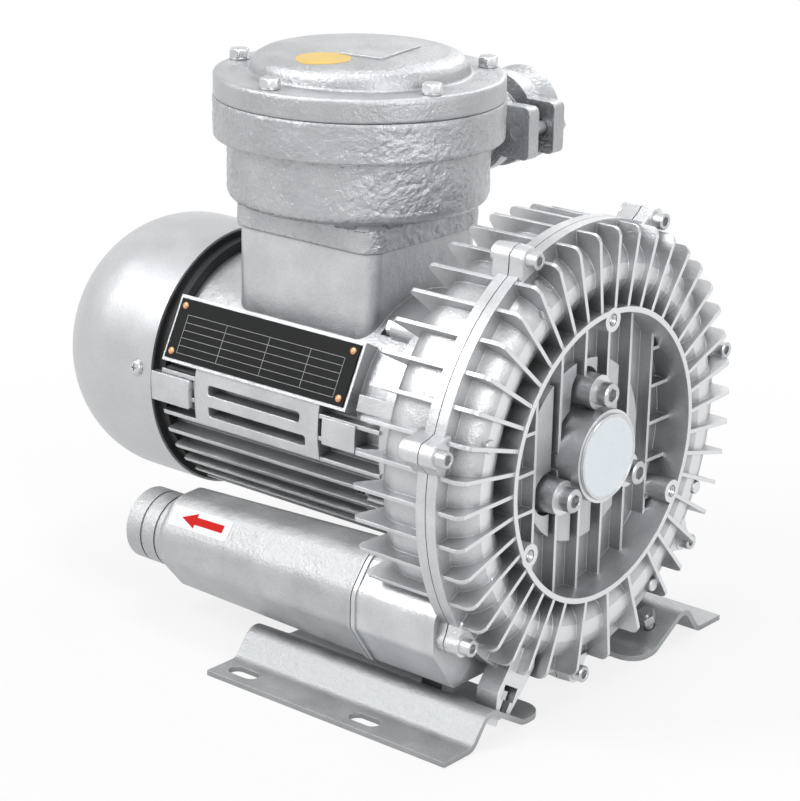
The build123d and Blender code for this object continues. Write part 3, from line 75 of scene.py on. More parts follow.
bpy.context.scene.view_settings.view_transform = "Standard"


# Studio: a pale floor under a white surround, which also shows in the metal's gloss, with a large soft
# lamp over the blower's left, weaker ones on its cover side and above, and one behind. The floor keeps a
# faint shadow.
def node(tree, kind, wires=None, **settings):
    """Add a shader node, set its properties, and give each input named in wires a value or a link."""
    made = tree.nodes.new("ShaderNode" + kind)
    for name, value in settings.items():
        setattr(made, name, value)
    for key, value in (wires or {}).items():
        if isinstance(value, bpy.types.NodeSocket):
            tree.links.new(value, made.inputs[key])
        else:
            made.inputs[key].default_value = value
    return made


def studio_rays(tree):
    """1 for a ray from the camera, a mirror-like reflection or glass, which all see the white surround."""
    path = node(tree, "LightPath")
    seen = node(tree, "Math", {0: path.outputs["Is Camera Ray"], 1: path.outputs["Is Glossy Ray"]},
                operation="MAXIMUM")
    return node(tree, "Math", {0: seen.outputs[0], 1: path.outputs["Is Transmission Ray"]},
                operation="MAXIMUM").outputs[0]


surround_level = 0.30
world = bpy.data.worlds.new("surround")
bpy.context.scene.world = world
world.use_nodes = True
world.node_tree.nodes.clear()
lit = node(world.node_tree, "Background", {"Color": (1, 1, 1, 1), "Strength": surround_level})
seen = node(world.node_tree, "Background", {"Color": (1, 1, 1, 1), "Strength": 1.0})
either = node(world.node_tree, "MixShader", {0: studio_rays(world.node_tree), 1: lit.outputs[0],
                                             2: seen.outputs[0]})
node(world.node_tree, "OutputWorld", {"Surface": either.outputs[0]})

floor_size = 6.0
floor_shadow = 0.18
floor_fade_from, floor_fade_to = 0.2, 0.6
floor_mesh = bpy.data.meshes.new("floor")
floor_half = floor_size / 2
floor_mesh.from_pydata([(-floor_half, -floor_half, 0), (floor_half, -floor_half, 0),
                        (floor_half, floor_half, 0), (-floor_half, floor_half, 0)], [], [(0, 1, 2, 3)])
floor = bpy.data.objects.new("floor", floor_mesh)
bpy.context.scene.collection.objects.link(floor)
floor_paint = bpy.data.materials.new("pale_floor")
floor_paint.use_nodes = True
tree = floor_paint.node_tree
tree.nodes.clear()
matt = node(tree, "BsdfDiffuse", {"Color": (0.85, 0.85, 0.85, 1)})
glow = node(tree, "Emission", {"Color": (1, 1, 1, 1), "Strength": 1.0})
away = node(tree, "VectorMath", {0: node(tree, "TexCoord").outputs["Object"]}, operation="LENGTH")
whiter = node(tree, "MapRange", {"Value": away.outputs["Value"], "From Min": floor_fade_from,
                                 "From Max": floor_fade_to, "To Min": 1 - floor_shadow, "To Max": 1.0})
share = node(tree, "Math", {0: studio_rays(tree), 1: whiter.outputs[0]}, operation="MULTIPLY")
mixed = node(tree, "MixShader", {0: share.outputs[0], 1: matt.outputs[0], 2: glow.outputs[0]})
node(tree, "OutputMaterial", {"Surface": mixed.outputs[0]})
floor_mesh.materials.append(floor_paint)


blower_middle = Vector((-0.05, 0.0, 0.15))


def soft_lamp(name, place, size, watts):
    """Square area lamp that looks at the blower's middle."""
    data = bpy.data.lights.new(name, "AREA")
    data.size = size
    data.energy = watts
    lamp = bpy.data.objects.new(name, data)
    bpy.context.scene.collection.objects.link(lamp)
    towards = blower_middle - Vector(place)
    lamp.matrix_world = Matrix.Translation(place) @ towards.to_track_quat("-Z", "Y").to_matrix().to_4x4()


soft_lamp("key", (-0.9, -1.3, 1.5), size=0.7, watts=21.0)
soft_lamp("cover_side", (1.6, -0.6, 0.9), size=0.6, watts=10.0)
soft_lamp("rear", (-0.3, 1.5, 1.3), size=1.0, watts=9.0)
soft_lamp("top", (0.1, -0.1, 1.9), size=0.5, watts=9.0)


# Rear housing, cover and bearing cartridge: gravity cast aluminium with a fine sandy skin under silver stove
# paint. The front edges of fins, ribs and bosses were skimmed on a lathe after that and shine brighter.
mottle_scale = 45.0
# How far the ambient occlusion looks for nearby surfaces when it darkens the paint as painted shade.
painted_shade_reach = 0.022
skimmed_bright = (0.80, 0.81, 0.82, 1)
skimmed_roughness = 0.32
faces_front = 0.97


def cast_metal(name, colour, metallic, roughness, grain, grain_depth, swell, swell_depth,
               mottle=0.1, edge=0.0006, painted_shade_strength=0.6, skimmed_from=None):
    """Silver paint on a cast skin. Two noises of different size raise the surface, a slow one mottles the
    colour, the Bevel node rounds each edge, and edges are lighter, partly as worn paint and partly as a
    painted highlight. Grooves, gaps between fins and joints between parts are darker by painted shade, from
    ambient occlusion. A face that looks along +X and lies past skimmed_from is bare turned metal."""
    metal = bpy.data.materials.new(name)
    metal.use_nodes = True
    tree = metal.node_tree
    shade = tree.nodes["Principled BSDF"]
    where = node(tree, "TexCoord").outputs["Object"]
    fine = node(tree, "TexNoise", {"Vector": where, "Scale": 1 / grain, "Detail": 4.0, "Roughness": 0.6})
    broad = node(tree, "TexNoise", {"Vector": where, "Scale": 1 / swell, "Detail": 2.0})
    slow = node(tree, "TexNoise", {"Vector": where, "Scale": mottle_scale, "Detail": 3.0})
    rounded = node(tree, "Bevel", {"Radius": edge}, samples=4)
    raised = node(tree, "Bump", {"Height": broad.outputs[0], "Distance": swell_depth,
                                 "Normal": rounded.outputs[0]})
    grained = node(tree, "Bump", {"Height": fine.outputs[0], "Distance": grain_depth,
                                  "Normal": raised.outputs[0]})
    tree.links.new(grained.outputs[0], shade.inputs["Normal"])
    flat = node(tree, "NewGeometry")
    turn = node(tree, "VectorMath", {0: rounded.outputs[0], 1: flat.outputs["Normal"]},
                operation="DOT_PRODUCT")
    # Edges are made lighter: partly worn paint, partly a painted highlight along each rounded edge.
    edge_wear_and_highlight = node(tree, "MapRange", {"Value": turn.outputs["Value"], "From Min": 0.99, "From Max": 0.8})
    tone = node(tree, "MapRange", {"Value": slow.outputs[0], "From Min": 0.3, "From Max": 0.7,
                                   "To Min": 1 - mottle, "To Max": 1 + mottle})
    speck = node(tree, "MapRange", {"Value": fine.outputs[0], "From Min": 0.35, "From Max": 0.7,
                                    "To Min": 0.94, "To Max": 1.04})
    # Painted shade: the colour is darkened where ambient occlusion finds nearby surfaces, in grooves, between
    # fins and where parts meet.
    occlusion = node(tree, "AmbientOcclusion", {"Distance": painted_shade_reach}, samples=6)
    painted_shade_factor = node(tree, "MapRange", {"Value": occlusion.outputs["AO"], "From Min": 0.1, "From Max": 0.8,
                                    "To Min": 1 - painted_shade_strength, "To Max": 1.0})
    tone_and_shade = node(tree, "Math", {0: tone.outputs[0], 1: painted_shade_factor.outputs[0]}, operation="MULTIPLY")
    both = node(tree, "Math", {0: tone_and_shade.outputs[0], 1: speck.outputs[0]}, operation="MULTIPLY")
    body = node(tree, "VectorMath", {0: (*colour, ), "Scale": both.outputs[0]}, operation="SCALE")
    edge_wear_and_highlight_gain = 1.18
    lighter = [min(1.0, part * edge_wear_and_highlight_gain) for part in colour]
    coat = node(tree, "Mix", {0: edge_wear_and_highlight.outputs[0], 6: body.outputs[0], 7: (*lighter, 1)}, data_type="RGBA")
    finish = coat.outputs[2]
    gloss = node(tree, "MapRange", {"Value": slow.outputs[0], "From Min": 0.3, "From Max": 0.7,
                                    "To Min": roughness - 0.06, "To Max": roughness + 0.06}).outputs[0]
    if skimmed_from is not None:
        split = node(tree, "SeparateXYZ", {0: where})
        ahead = node(tree, "Math", {0: split.outputs[0], 1: skimmed_from}, operation="GREATER_THAN")
        facing = node(tree, "SeparateXYZ", {0: flat.outputs["Normal"]})
        front = node(tree, "Math", {0: facing.outputs[0], 1: faces_front}, operation="GREATER_THAN")
        bare = node(tree, "Math", {0: ahead.outputs[0], 1: front.outputs[0]}, operation="MULTIPLY")
        finish = node(tree, "Mix", {0: bare.outputs[0], 6: finish, 7: skimmed_bright},
                      data_type="RGBA").outputs[2]
        gloss = node(tree, "Mix", {0: bare.outputs[0], 2: gloss, 3: skimmed_roughness}).outputs[0]
    tree.links.new(finish, shade.inputs["Base Color"])
    tree.links.new(gloss, shade.inputs["Roughness"])
    shade.inputs["Metallic"].default_value = metallic
    return metal


def dress(material, *names):
    """Give the CAD nodes of those names this finish."""
    for name in names:
        nodes[name].data.materials.clear()
        nodes[name].data.materials.append(material)


housing_silver = cast_metal("housing_silver", (0.63, 0.64, 0.655), metallic=0.75, roughness=0.36,
                            grain=0.0011, grain_depth=0.0002, swell=0.004, swell_depth=0.0002,
                            skimmed_from=0.0937)
dress(housing_silver, "rear_housing", "front_cover", "bearing_cartridge")


# Motor: the frame's casting is coarser than the blower's, with painted shade between its fins. The rear
# shield is painted near black as painted shade, where the fan cover shades it. That cover is pressed steel
# sheet, painted smooth silver outside, and its inside faces get the same near black as painted shade.
frame_silver = cast_metal("frame_silver", (0.60, 0.61, 0.625), metallic=0.75, roughness=0.36,
                          grain=0.0012, grain_depth=0.00022, swell=0.007, swell_depth=0.0004, edge=0.0009)
dress(frame_silver, "motor_frame")
# Near black for painted shade: the shaded rear shield and the fan cover's inside faces.
painted_shade_black = (0.022, 0.023, 0.025)
shield_painted_shade = cast_metal("shield_painted_shade", painted_shade_black, metallic=0.1, roughness=0.6, grain=0.0012,
                           grain_depth=0.0001, swell=0.006, swell_depth=0.0002)
dress(shield_painted_shade, "rear_end_shield")
cowl_silver = cast_metal("cowl_silver", (0.56, 0.57, 0.585), metallic=0.75, roughness=0.40, grain=0.0012,
                         grain_depth=0.00008, swell=0.02, swell_depth=0.0002, mottle=0.05)
inside_face_below = -0.002
tree = cowl_silver.node_tree
from_shaft = node(tree, "VectorMath", {0: node(tree, "TexCoord").outputs["Object"], 1: (0, 0, shaft_height)},
                  operation="SUBTRACT")
radial = node(tree, "VectorMath", {0: from_shaft.outputs[0], 1: (0, 1, 1)}, operation="MULTIPLY")
outward = node(tree, "VectorMath", {0: radial.outputs[0], 1: node(tree, "NewGeometry").outputs["Normal"]},
               operation="DOT_PRODUCT")
# Faces of the cowl that look towards the shaft get the near black of painted shade.
shaded_inside = node(tree, "Math", {0: outward.outputs["Value"], 1: inside_face_below}, operation="LESS_THAN")
paint = tree.nodes["Principled BSDF"].inputs["Base Color"]
shaded_lining = node(tree, "Mix", {0: shaded_inside.outputs[0], 6: paint.links[0].from_socket, 7: (*painted_shade_black, 1)},
             data_type="RGBA")
tree.links.new(shaded_lining.outputs[2], paint)
dress(cowl_silver, "fan_cover")


# Terminal box: sand cast iron with a coarse, orange-peel skin that the glossy silver paint follows. Its
# square foot flows into the round body in a soft fillet, below the flange. The skin wraps the outside of the
# box's solid, about a third of a millimetre proud of it and uneven as cast.
hammered_silver = cast_metal("hammered_silver", (0.48, 0.49, 0.505), metallic=0.9, roughness=0.26,
                             grain=0.0010, grain_depth=0.0004, swell=0.0022, swell_depth=0.0006, edge=0.0012)
dress(hammered_silver, "terminal_box", "gland_body")


def surface(name, points, material, body=root_body, wrap=True, sharp=40.0):
    """Piece from grids of points, each (rows, columns, 3), with quads between neighbours. wrap joins the
    last column to the first. Rows that shrink to a point are merged, and faces are turned outwards."""
    corners = []
    quads = []
    start = 0
    for grid in points if isinstance(points, list) else [points]:
        rows, columns = grid.shape[:2]
        row, column = np.meshgrid(np.arange(rows - 1), np.arange(columns if wrap else columns - 1),
                                  indexing="ij")
        after = (column + 1) % columns
        quads.append(start + np.stack([row * columns + column, row * columns + after,
                                       (row + 1) * columns + after, (row + 1) * columns + column],
                                      axis=-1).reshape(-1, 4))
        corners.append(grid.reshape(-1, 3))
        start += rows * columns
    mesh = bpy.data.meshes.new(name)
    mesh.from_pydata(np.concatenate(corners).tolist(), [], np.concatenate(quads).tolist())
    work = bmesh.new()
    work.from_mesh(mesh)
    bmesh.ops.remove_doubles(work, verts=work.verts, dist=1e-6)
    bmesh.ops.recalc_face_normals(work, faces=work.faces)
    work.to_mesh(mesh)
    work.free()
    mesh.polygons.foreach_set("use_smooth", [True] * len(mesh.polygons))
    mesh.set_sharp_from_angle(angle=math.radians(sharp))
    piece = bpy.data.objects.new(name, mesh)
    bpy.context.scene.collection.objects.link(piece)
    mesh.materials.append(material)
    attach(piece, body)
    return piece


def rings(profile, centre, axis, sides, hexagon=0.0):
    """Grid of a body turned about an axis: each profile row gives a radius, a height along the axis and, as
    a third number, how far the ring's outline goes from a circle (0) to a hexagon (1)."""
    axis = np.array(axis, float) / np.linalg.norm(axis)
    across = np.cross(axis, [0.0, 0.0, 1.0] if abs(axis[2]) < 0.9 else [1.0, 0.0, 0.0])
    across /= np.linalg.norm(across)
    other = np.cross(axis, across)
    rows = np.array([(*row, hexagon)[:3] for row in profile], float)
    turn = np.linspace(0.0, 2 * math.pi, sides, endpoint=False)
    flat = np.cos((turn + math.pi / 6) % (math.pi / 3) - math.pi / 6)
    reach = rows[:, :1] * (1 + rows[:, 2:3] * (math.cos(math.pi / 6) / flat - 1)[None, :])
    ring = np.cos(turn)[:, None] * across + np.sin(turn)[:, None] * other
    return np.array(centre) + reach[:, :, None] * ring[None] + rows[:, 1, None, None] * axis


def smooth_noise(points, size, seed):
    """Value noise: random numbers on a cubic lattice of that spacing, blended with a smooth step."""
    draw = np.random.default_rng(seed)
    table = draw.uniform(-1, 1, (32, 32, 32))
    place = points / size
    cell = np.floor(place).astype(int)
    part = place - cell
    part = part * part * (3 - 2 * part)
    total = np.zeros(points.shape[:-1])
    for dx in (0, 1):
        for dy in (0, 1):
            for dz in (0, 1):
                weight = (np.abs(1 - dx - part[..., 0]) * np.abs(1 - dy - part[..., 1])
                          * np.abs(1 - dz - part[..., 2]))
                total += weight * table[(cell[..., 0] + dx) % 32, (cell[..., 1] + dy) % 32,
                                        (cell[..., 2] + dz) % 32]
    return total


def dense(profile, step):
    """Profile with extra rows, so that none of its runs is longer than step."""
    rows = [np.array(profile[0], float)]
    for first, second in zip(profile[:-1], profile[1:]):
        first, second = np.array(first, float), np.array(second, float)
        count = max(1, int(math.ceil(np.linalg.norm(second - first) / step)))
        rows += [first + (second - first) * k / count for k in range(1, count + 1)]
    return np.array(rows)


box_x = -0.066
skin = 0.0003
skin_depth = 0.0009
foot_half_x, foot_half_y, foot_corner = 0.0516, 0.0492, 0.012
foot_top, foot_fillet = 0.2440, 0.0038
box_turns = 520


def rounded_rectangle_reach(turn, half_x, half_y, corner):
    """Distance from a rectangle's middle to its outline at each turn: to its nearer side, or, beyond where
    the sides end, to the circle that rounds the corner."""
    across, along = np.abs(np.cos(turn)), np.abs(np.sin(turn))
    straight = np.minimum(half_x / np.maximum(across, 1e-9), half_y / np.maximum(along, 1e-9))
    middle_x, middle_y = half_x - corner, half_y - corner
    nearest = middle_x * across + middle_y * along
    chord = np.maximum(nearest ** 2 - (middle_x ** 2 + middle_y ** 2 - corner ** 2), 0)
    rounded = (straight * across > middle_x) & (straight * along > middle_y)
    return np.where(rounded, nearest + np.sqrt(chord), straight)


def box_shell(profile, grow):
    """The box's outside: the larger of the square foot's reach and the profile's radius at each turn. Near
    the foot it drops by the rise of a quarter circle, which makes the fillet."""
    turn = np.linspace(0.0, 2 * math.pi, box_turns, endpoint=False)
    square = rounded_rectangle_reach(turn, foot_half_x, foot_half_y, foot_corner)[None, :]
    radius, height = profile[:, :1], profile[:, 1:2]
    reach = np.maximum(radius, square)
    beyond = np.clip(reach - square, 0, foot_fillet)
    drop = foot_fillet - np.sqrt(foot_fillet ** 2 - (foot_fillet - beyond) ** 2)
    height = np.where(height > foot_top, np.maximum(height - drop, foot_top - foot_fillet), height)
    reach = reach + grow
    return np.stack([box_x + reach * np.cos(turn), reach * np.sin(turn), height + 0 * reach], axis=-1)


box_rows = [(0.0, 0.2290), (0.0, 0.2402), (0.0, 0.2445), (0.0560, 0.2446), (0.0668, 0.2447),
            (0.0695, 0.2459), (0.0712, 0.2476), (0.0720, 0.2500), (0.0720, 0.2790), (0.0724, 0.2796),
            (0.0732, 0.2799), (0.0790, 0.2799), (0.0797, 0.2804), (0.0798, 0.2812), (0.0798, 0.3006),
            (0.0794, 0.3013)]
outside = box_shell(dense(box_rows, step=0.0009), skin)
broad_wrinkle, broad_height = 0.0023, 0.00034
fine_wrinkle, fine_height = 0.0014, 0.00020
wrinkle = (smooth_noise(outside * [1, 1, 0.8], broad_wrinkle, 11) * broad_height
           + smooth_noise(outside, fine_wrinkle, 12) * fine_height)
wrinkle = np.maximum(wrinkle, -skin * 0.7)
out_x, out_y = outside[..., 0] - box_x, outside[..., 1].copy()
out_length = np.hypot(out_x, out_y)
outside[..., 0] += wrinkle * out_x / out_length
outside[..., 1] += wrinkle * out_y / out_length
inside = box_shell(np.array(box_rows[::-1]), -skin_depth)
rim_step = 0.0004
inside[0, :, 2] -= rim_step
surface("terminal_box_skin", np.concatenate([outside, inside, outside[:1]]), hammered_silver,
        sharp=60.0)


# Lid: the same iron with a smoother top, turned where it seats, as a shell with a round-shouldered dome.
# A raised panel is cast on the dome, and a yellow patch is painted beside it.
lid_silver = cast_metal("lid_silver", (0.48, 0.49, 0.505), metallic=0.85, roughness=0.36,
                        grain=0.0012, grain_depth=0.0004, swell=0.0025, swell_depth=0.0004, edge=0.0012)
dress(lid_silver, "terminal_lid")
lid_profile = dense([(0.0, 0.3222), (0.0430, 0.3211), (0.0500, 0.3185), (0.0542, 0.3130), (0.0542, 0.3016),
                     (0.0792, 0.3016), (0.0799, 0.3022), (0.0800, 0.3128), (0.0794, 0.3141),
                     (0.0782, 0.3146), (0.0622, 0.3146), (0.0610, 0.3149), (0.0603, 0.3158),
                     (0.0600, 0.3170), (0.0590, 0.3202), (0.0568, 0.3230), (0.0535, 0.3249),
                     (0.0493, 0.3260), (0.0400, 0.3266), (0.0200, 0.3272), (0.0, 0.3274)], step=0.0012)
lid = rings(lid_profile, (box_x, 0, 0), (0, 0, 1), box_turns)
hollow_size, hollow_depth = 0.005, 0.00005
dome_from = 0.3147
lid_hollow = np.abs(smooth_noise(lid, hollow_size, 21) * hollow_depth)
lid[..., 2] -= lid_hollow * (lid_profile[:, 1:2] > dome_from)
lid_reach = np.hypot(lid[..., 0] - box_x, lid[..., 1])
shrink = 1 - lid_hollow / np.maximum(lid_reach, 0.01)
lid[..., 0] = box_x + (lid[..., 0] - box_x) * shrink
lid[..., 1] *= shrink
lid_piece = surface("terminal_lid_casting", lid, lid_silver, sharp=50.0)
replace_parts(lid_piece, "terminal_lid")


def on_dome(x, y):
    """Height of the dome over a place, read from the lid's own profile at that distance from its middle."""
    crown = lid_profile[lid_profile[:, 1] > 0.3225][::-1]
    return np.interp(np.hypot(x - box_x, y), crown[:, 0], crown[:, 1])


def rounded_patch(centre, half_long, half_short, turn_by, corner, rise, power=6.0, rows=10, columns=72):
    """Patch on the dome: a superellipse outline filled from its middle, thin, with a soft rim."""
    angle = np.linspace(0.0, 2 * math.pi, columns, endpoint=False)
    outline = ((np.abs(np.cos(angle)) / half_long) ** power
               + (np.abs(np.sin(angle)) / half_short) ** power) ** (-1 / power)
    part = np.linspace(0.0, 1.0, rows)
    reach = np.concatenate([part[:, None] * (outline - corner)[None, :], outline[None, :], outline[None, :]])
    lift = np.concatenate([np.full(rows, rise), [rise * 0.6, -0.0004]])
    x = centre[0] + reach * np.cos(angle + turn_by)
    y = centre[1] + reach * np.sin(angle + turn_by)
    return np.stack([x, y, on_dome(x, y) + lift[:, None]], axis=-1)


raised_panel = rounded_patch((-0.0530, 0.0015), half_long=0.0225, half_short=0.0135,
                             turn_by=math.radians(102), corner=0.0003, rise=0.0011, power=20.0, columns=160)
surface("lid_raised_panel", raised_panel, lid_silver, sharp=30.0)


def plain_finish(name, colour, metallic, roughness, grain, depth, coat=0.0, tone=0.06, shine=0.5):
    """Plain moulded, plated or printed finish: one noise for the grain, another for a slight unevenness of
    colour and gloss. shine is how strongly a part that isn't metal reflects."""
    made = bpy.data.materials.new(name)
    made.use_nodes = True
    tree = made.node_tree
    shade = tree.nodes["Principled BSDF"]
    where = node(tree, "TexCoord").outputs["Object"]
    fine = node(tree, "TexNoise", {"Vector": where, "Scale": 1 / grain, "Detail": 3.0})
    slow = node(tree, "TexNoise", {"Vector": where, "Scale": 90.0, "Detail": 2.0})
    rounded = node(tree, "Bevel", {"Radius": 0.0003}, samples=4)
    bump = node(tree, "Bump", {"Height": fine.outputs[0], "Distance": depth, "Normal": rounded.outputs[0]})
    tree.links.new(bump.outputs[0], shade.inputs["Normal"])
    level = node(tree, "MapRange", {"Value": slow.outputs[0], "From Min": 0.3, "From Max": 0.7,
                                    "To Min": 1 - tone, "To Max": 1 + tone})
    tinted = node(tree, "VectorMath", {0: (*colour, ), "Scale": level.outputs[0]}, operation="SCALE")
    tree.links.new(tinted.outputs[0], shade.inputs["Base Color"])
    gloss = node(tree, "MapRange", {"Value": slow.outputs[0], "From Min": 0.3, "From Max": 0.7,
                                    "To Min": roughness * 0.85, "To Max": roughness * 1.15})
    tree.links.new(gloss.outputs[0], shade.inputs["Roughness"])
    shade.inputs["Metallic"].default_value = metallic
    shade.inputs["Coat Weight"].default_value = coat
    shade.inputs["Specular IOR Level"].default_value = shine
    return made


patch_yellow = plain_finish("patch_yellow", (0.72, 0.50, 0.13), metallic=0.0, roughness=0.45, grain=0.0004,
                            depth=0.00001)
yellow_patch = rounded_patch((-0.0610, -0.0360), half_long=0.0150, half_short=0.0140,
                             turn_by=math.radians(38), corner=0.0002, rise=0.00015, power=2.2)
surface("lid_plain_patch", yellow_patch, patch_yellow)


# Screws: zinc plated steel. Lid screws have hexagon heads on spring washers; those of the flange and of the
# bearing cartridge have round heads with a chamfer and a hexagon socket. Each is one turned body.
zinc = plain_finish("zinc_plating", (0.58, 0.59, 0.60), metallic=0.9, roughness=0.3, grain=0.0006,
                    depth=0.00002, tone=0.1)
dress(zinc, "shaft_end_washer", "shaft_end_screw", "shaft", "impeller_key", "end_shield_screws",
      "frame_screws", "wave_washer", "fan_circlip", "fan_cover_screws", "box_screws", "earth_screw",
      "gland_washer", "gland_screws", "silencer_screws", "foot_bolts", "foot_nuts", "foot_washers",
      "cover_screws", "hub_screws", "lid_screws")
screw_sides = 48
lid_top, lid_screw_circle = 0.3146, 0.0723
lid_screw_profile = [(0.0, -0.024), (0.0026, -0.024), (0.0030, -0.0235), (0.0030, 0.0), (0.0052, 0.0),
                     (0.0054, 0.0002), (0.0054, 0.0011), (0.0052, 0.0013), (0.0041, 0.0013, 1),
                     (0.00577, 0.0014, 1), (0.00577, 0.0052, 1), (0.0053, 0.0058, 0.6), (0.0047, 0.0060, 0),
                     (0.0, 0.0060)]
lid_screw_rings = [rings(lid_screw_profile, (box_x + lid_screw_circle * math.cos(math.radians(angle)),
                                             lid_screw_circle * math.sin(math.radians(angle)), lid_top),
                         (0, 0, 1), screw_sides) for angle in range(-90, 270, 72)]
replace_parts(surface("lid_hexagon_screws", lid_screw_rings, zinc, sharp=28.0), "lid_screws")


def about_shaft(x, circle, angle):
    """Point at x on a circle about the shaft, at an angle in degrees that starts at +Y and turns to +Z."""
    turn = math.radians(angle)
    return x, circle * math.cos(turn), shaft_height + circle * math.sin(turn)


def socket_head_screw(head_x, circle, angle, head_radius, head_height, shank_radius, length):
    """Socket screw along +X on a pitch circle about the shaft: shank, round head with a chamfer, and a
    hexagon socket."""
    socket = head_radius * 0.52
    chamfer = head_radius * 0.12
    profile = [(0.0, -length), (shank_radius, -length), (shank_radius, 0.0), (head_radius, 0.0),
               (head_radius, head_height - chamfer), (head_radius - chamfer, head_height),
               (socket * 1.18, head_height), (socket * 1.12, head_height - 0.0003, 1),
               (socket * 1.08, head_height * 0.45, 1), (0.0, head_height * 0.38)]
    return rings(profile, about_shaft(head_x, circle, angle), (1, 0, 0), screw_sides)


flange_angles = [-90 + k * 360 / 7 for k in range(7)]
hub_angles = (90, 210, 330)
flange_screw_rings = [socket_head_screw(0.0944, 0.1276, angle, head_radius=0.0046, head_height=0.006,
                                        shank_radius=0.0025, length=0.0194) for angle in flange_angles]
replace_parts(surface("flange_socket_screws", flange_screw_rings, zinc, sharp=28.0), "cover_screws")
hub_screw_rings = [socket_head_screw(0.102, 0.0338, angle, head_radius=0.0065, head_height=0.008,
                                     shank_radius=0.004, length=0.0235) for angle in hub_angles]
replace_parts(surface("cartridge_socket_screws", hub_screw_rings, zinc, sharp=28.0), "hub_screws")


# Three M8 threads at the rim of the cover's recess: a fine helical ridge cut inside each tapped boss, bare
# metal as the tap leaves it.
def thread(centre, radius, length, pitch, depth):
    """Wall of a threaded hole: the radius rises and falls once per pitch, and a turn shifts it by one."""
    along = np.linspace(0.0, -length, int(length / pitch * 10))[:, None]
    turn = np.linspace(0.0, 2 * math.pi, 40, endpoint=False)[None, :]
    ridge = 2 * np.abs((along / pitch + turn / (2 * math.pi)) % 1 - 0.5)
    reach = radius - depth * ridge
    return np.stack([centre[0] + along + 0 * turn, centre[1] + reach * np.cos(turn),
                     centre[2] + reach * np.sin(turn)], axis=-1)


turned_aluminium = plain_finish("turned_aluminium", (0.70, 0.71, 0.72), metallic=0.9, roughness=0.3,
                                grain=0.0004, depth=0.00001)
threads = [thread(about_shaft(0.1079, 0.0744, angle), radius=0.00335, length=0.0128, pitch=0.00125,
                  depth=0.0006) for angle in hub_angles]
surface("cover_tapped_threads", threads, turned_aluminium, sharp=60.0)


# Hub cap: a pale enamelled disc let into a turned aluminium rim, which closes the bearing's housing as a
# push fit.
cap_face = plain_finish("cap_face", (0.86, 0.93, 0.98), metallic=0.0, roughness=0.3, grain=0.0008,
                        depth=0.00001, coat=0.3, tone=0.015)
cap_centre, cap_sides = (0.0, 0.0, shaft_height), 120
cap_rim_profile = dense([(0.0199, 0.1055), (0.0199, 0.108), (0.0226, 0.108), (0.0233, 0.1083),
                         (0.0235, 0.1088), (0.0235, 0.1094), (0.0232, 0.1099), (0.0226, 0.1100),
                         (0.0221, 0.1098), (0.0220, 0.1095), (0.0, 0.1095)], step=0.003)
cap_rim = rings([(0.0, 0.1055), *cap_rim_profile], cap_centre, (1, 0, 0), cap_sides)
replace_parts(surface("hub_cap_rim", cap_rim, turned_aluminium, sharp=35.0), "hub_cap")
cap_disc = rings([(0.0, 0.1096), (0.0205, 0.1096), (0.0215, 0.10965), (0.0219, 0.1093)], cap_centre,
                 (1, 0, 0), cap_sides)
surface("hub_cap_disc", cap_disc, cap_face, sharp=35.0)


# Recess of the cover: low pads stand between its ribs inside a disc about the bearing, cast in one with it.
# They stop short of the ribs, of the bearing's nose and of its three screw pads.
pad_disc, pad_nose, pad_notch = 0.050, 0.0275, 0.012
pad_top_x, pad_foot_x = 0.0920, 0.0866
low_screw_y, low_screw_z = 0.0293, 0.0169
top_screw_z = 2 * low_screw_y * math.tan(math.radians(30))


def chord(radius, y, middle=0.0):
    """Half length of the upright chord at y of a circle with its middle at that y: the root of radius
    squared less the distance squared, or 0 outside it."""
    return np.sqrt(np.maximum(radius ** 2 - (y - middle) ** 2, 0))


def recess_pad(y, low, high):
    """Slab whose face spans low(y) to high(y) at each y, with upright sides and a closed foot."""
    part = np.linspace(0, 1, 15)[:, None]
    face_z = low[None, :] * (1 - part) + high[None, :] * part
    face = np.stack([np.full_like(face_z, pad_top_x), y + 0 * face_z, shaft_height + face_z], axis=-1)
    face = np.pad(face, ((1, 1), (1, 1), (0, 0)), mode="edge")
    face[[0, -1], :, 0] = pad_foot_x
    face[:, [0, -1], 0] = pad_foot_x
    foot = face.copy()
    foot[..., 0] = pad_foot_x
    return [face, foot]


def pad_strip(first_y, last_y):
    """Places across one strip between two ribs."""
    return np.linspace(first_y, last_y, 16)


y = pad_strip(-0.042, -0.0275)
pads = recess_pad(y, -chord(pad_disc, y), -low_screw_z - chord(pad_notch, y, -low_screw_y))
pads += recess_pad(y, -low_screw_z + chord(pad_notch, y, -low_screw_y), chord(pad_disc, y))
y = pad_strip(-0.0195, -0.008)
over_screw = top_screw_z + chord(pad_notch, y)
pads += recess_pad(y, np.where(y > -pad_notch, over_screw, chord(pad_nose, y)), chord(pad_disc, y))
pads += recess_pad(y, -chord(pad_disc, y), -chord(pad_nose, y))
y = pad_strip(0.001, 0.0105)
pads += recess_pad(y, top_screw_z + chord(pad_notch, y), chord(pad_disc, y))
pads += recess_pad(y, -chord(pad_disc, y), -chord(pad_nose, y))
y = pad_strip(0.020, 0.0305)
pads += recess_pad(y, chord(pad_nose, y), chord(pad_disc, y))
pads += recess_pad(y, -chord(pad_disc, y), -low_screw_z - chord(pad_notch, y, low_screw_y))
y = pad_strip(0.0415, 0.0495)
pads += recess_pad(y, -chord(pad_disc, y), chord(pad_disc, y))
surface("recess_pads", pads, housing_silver, wrap=False, sharp=30.0)


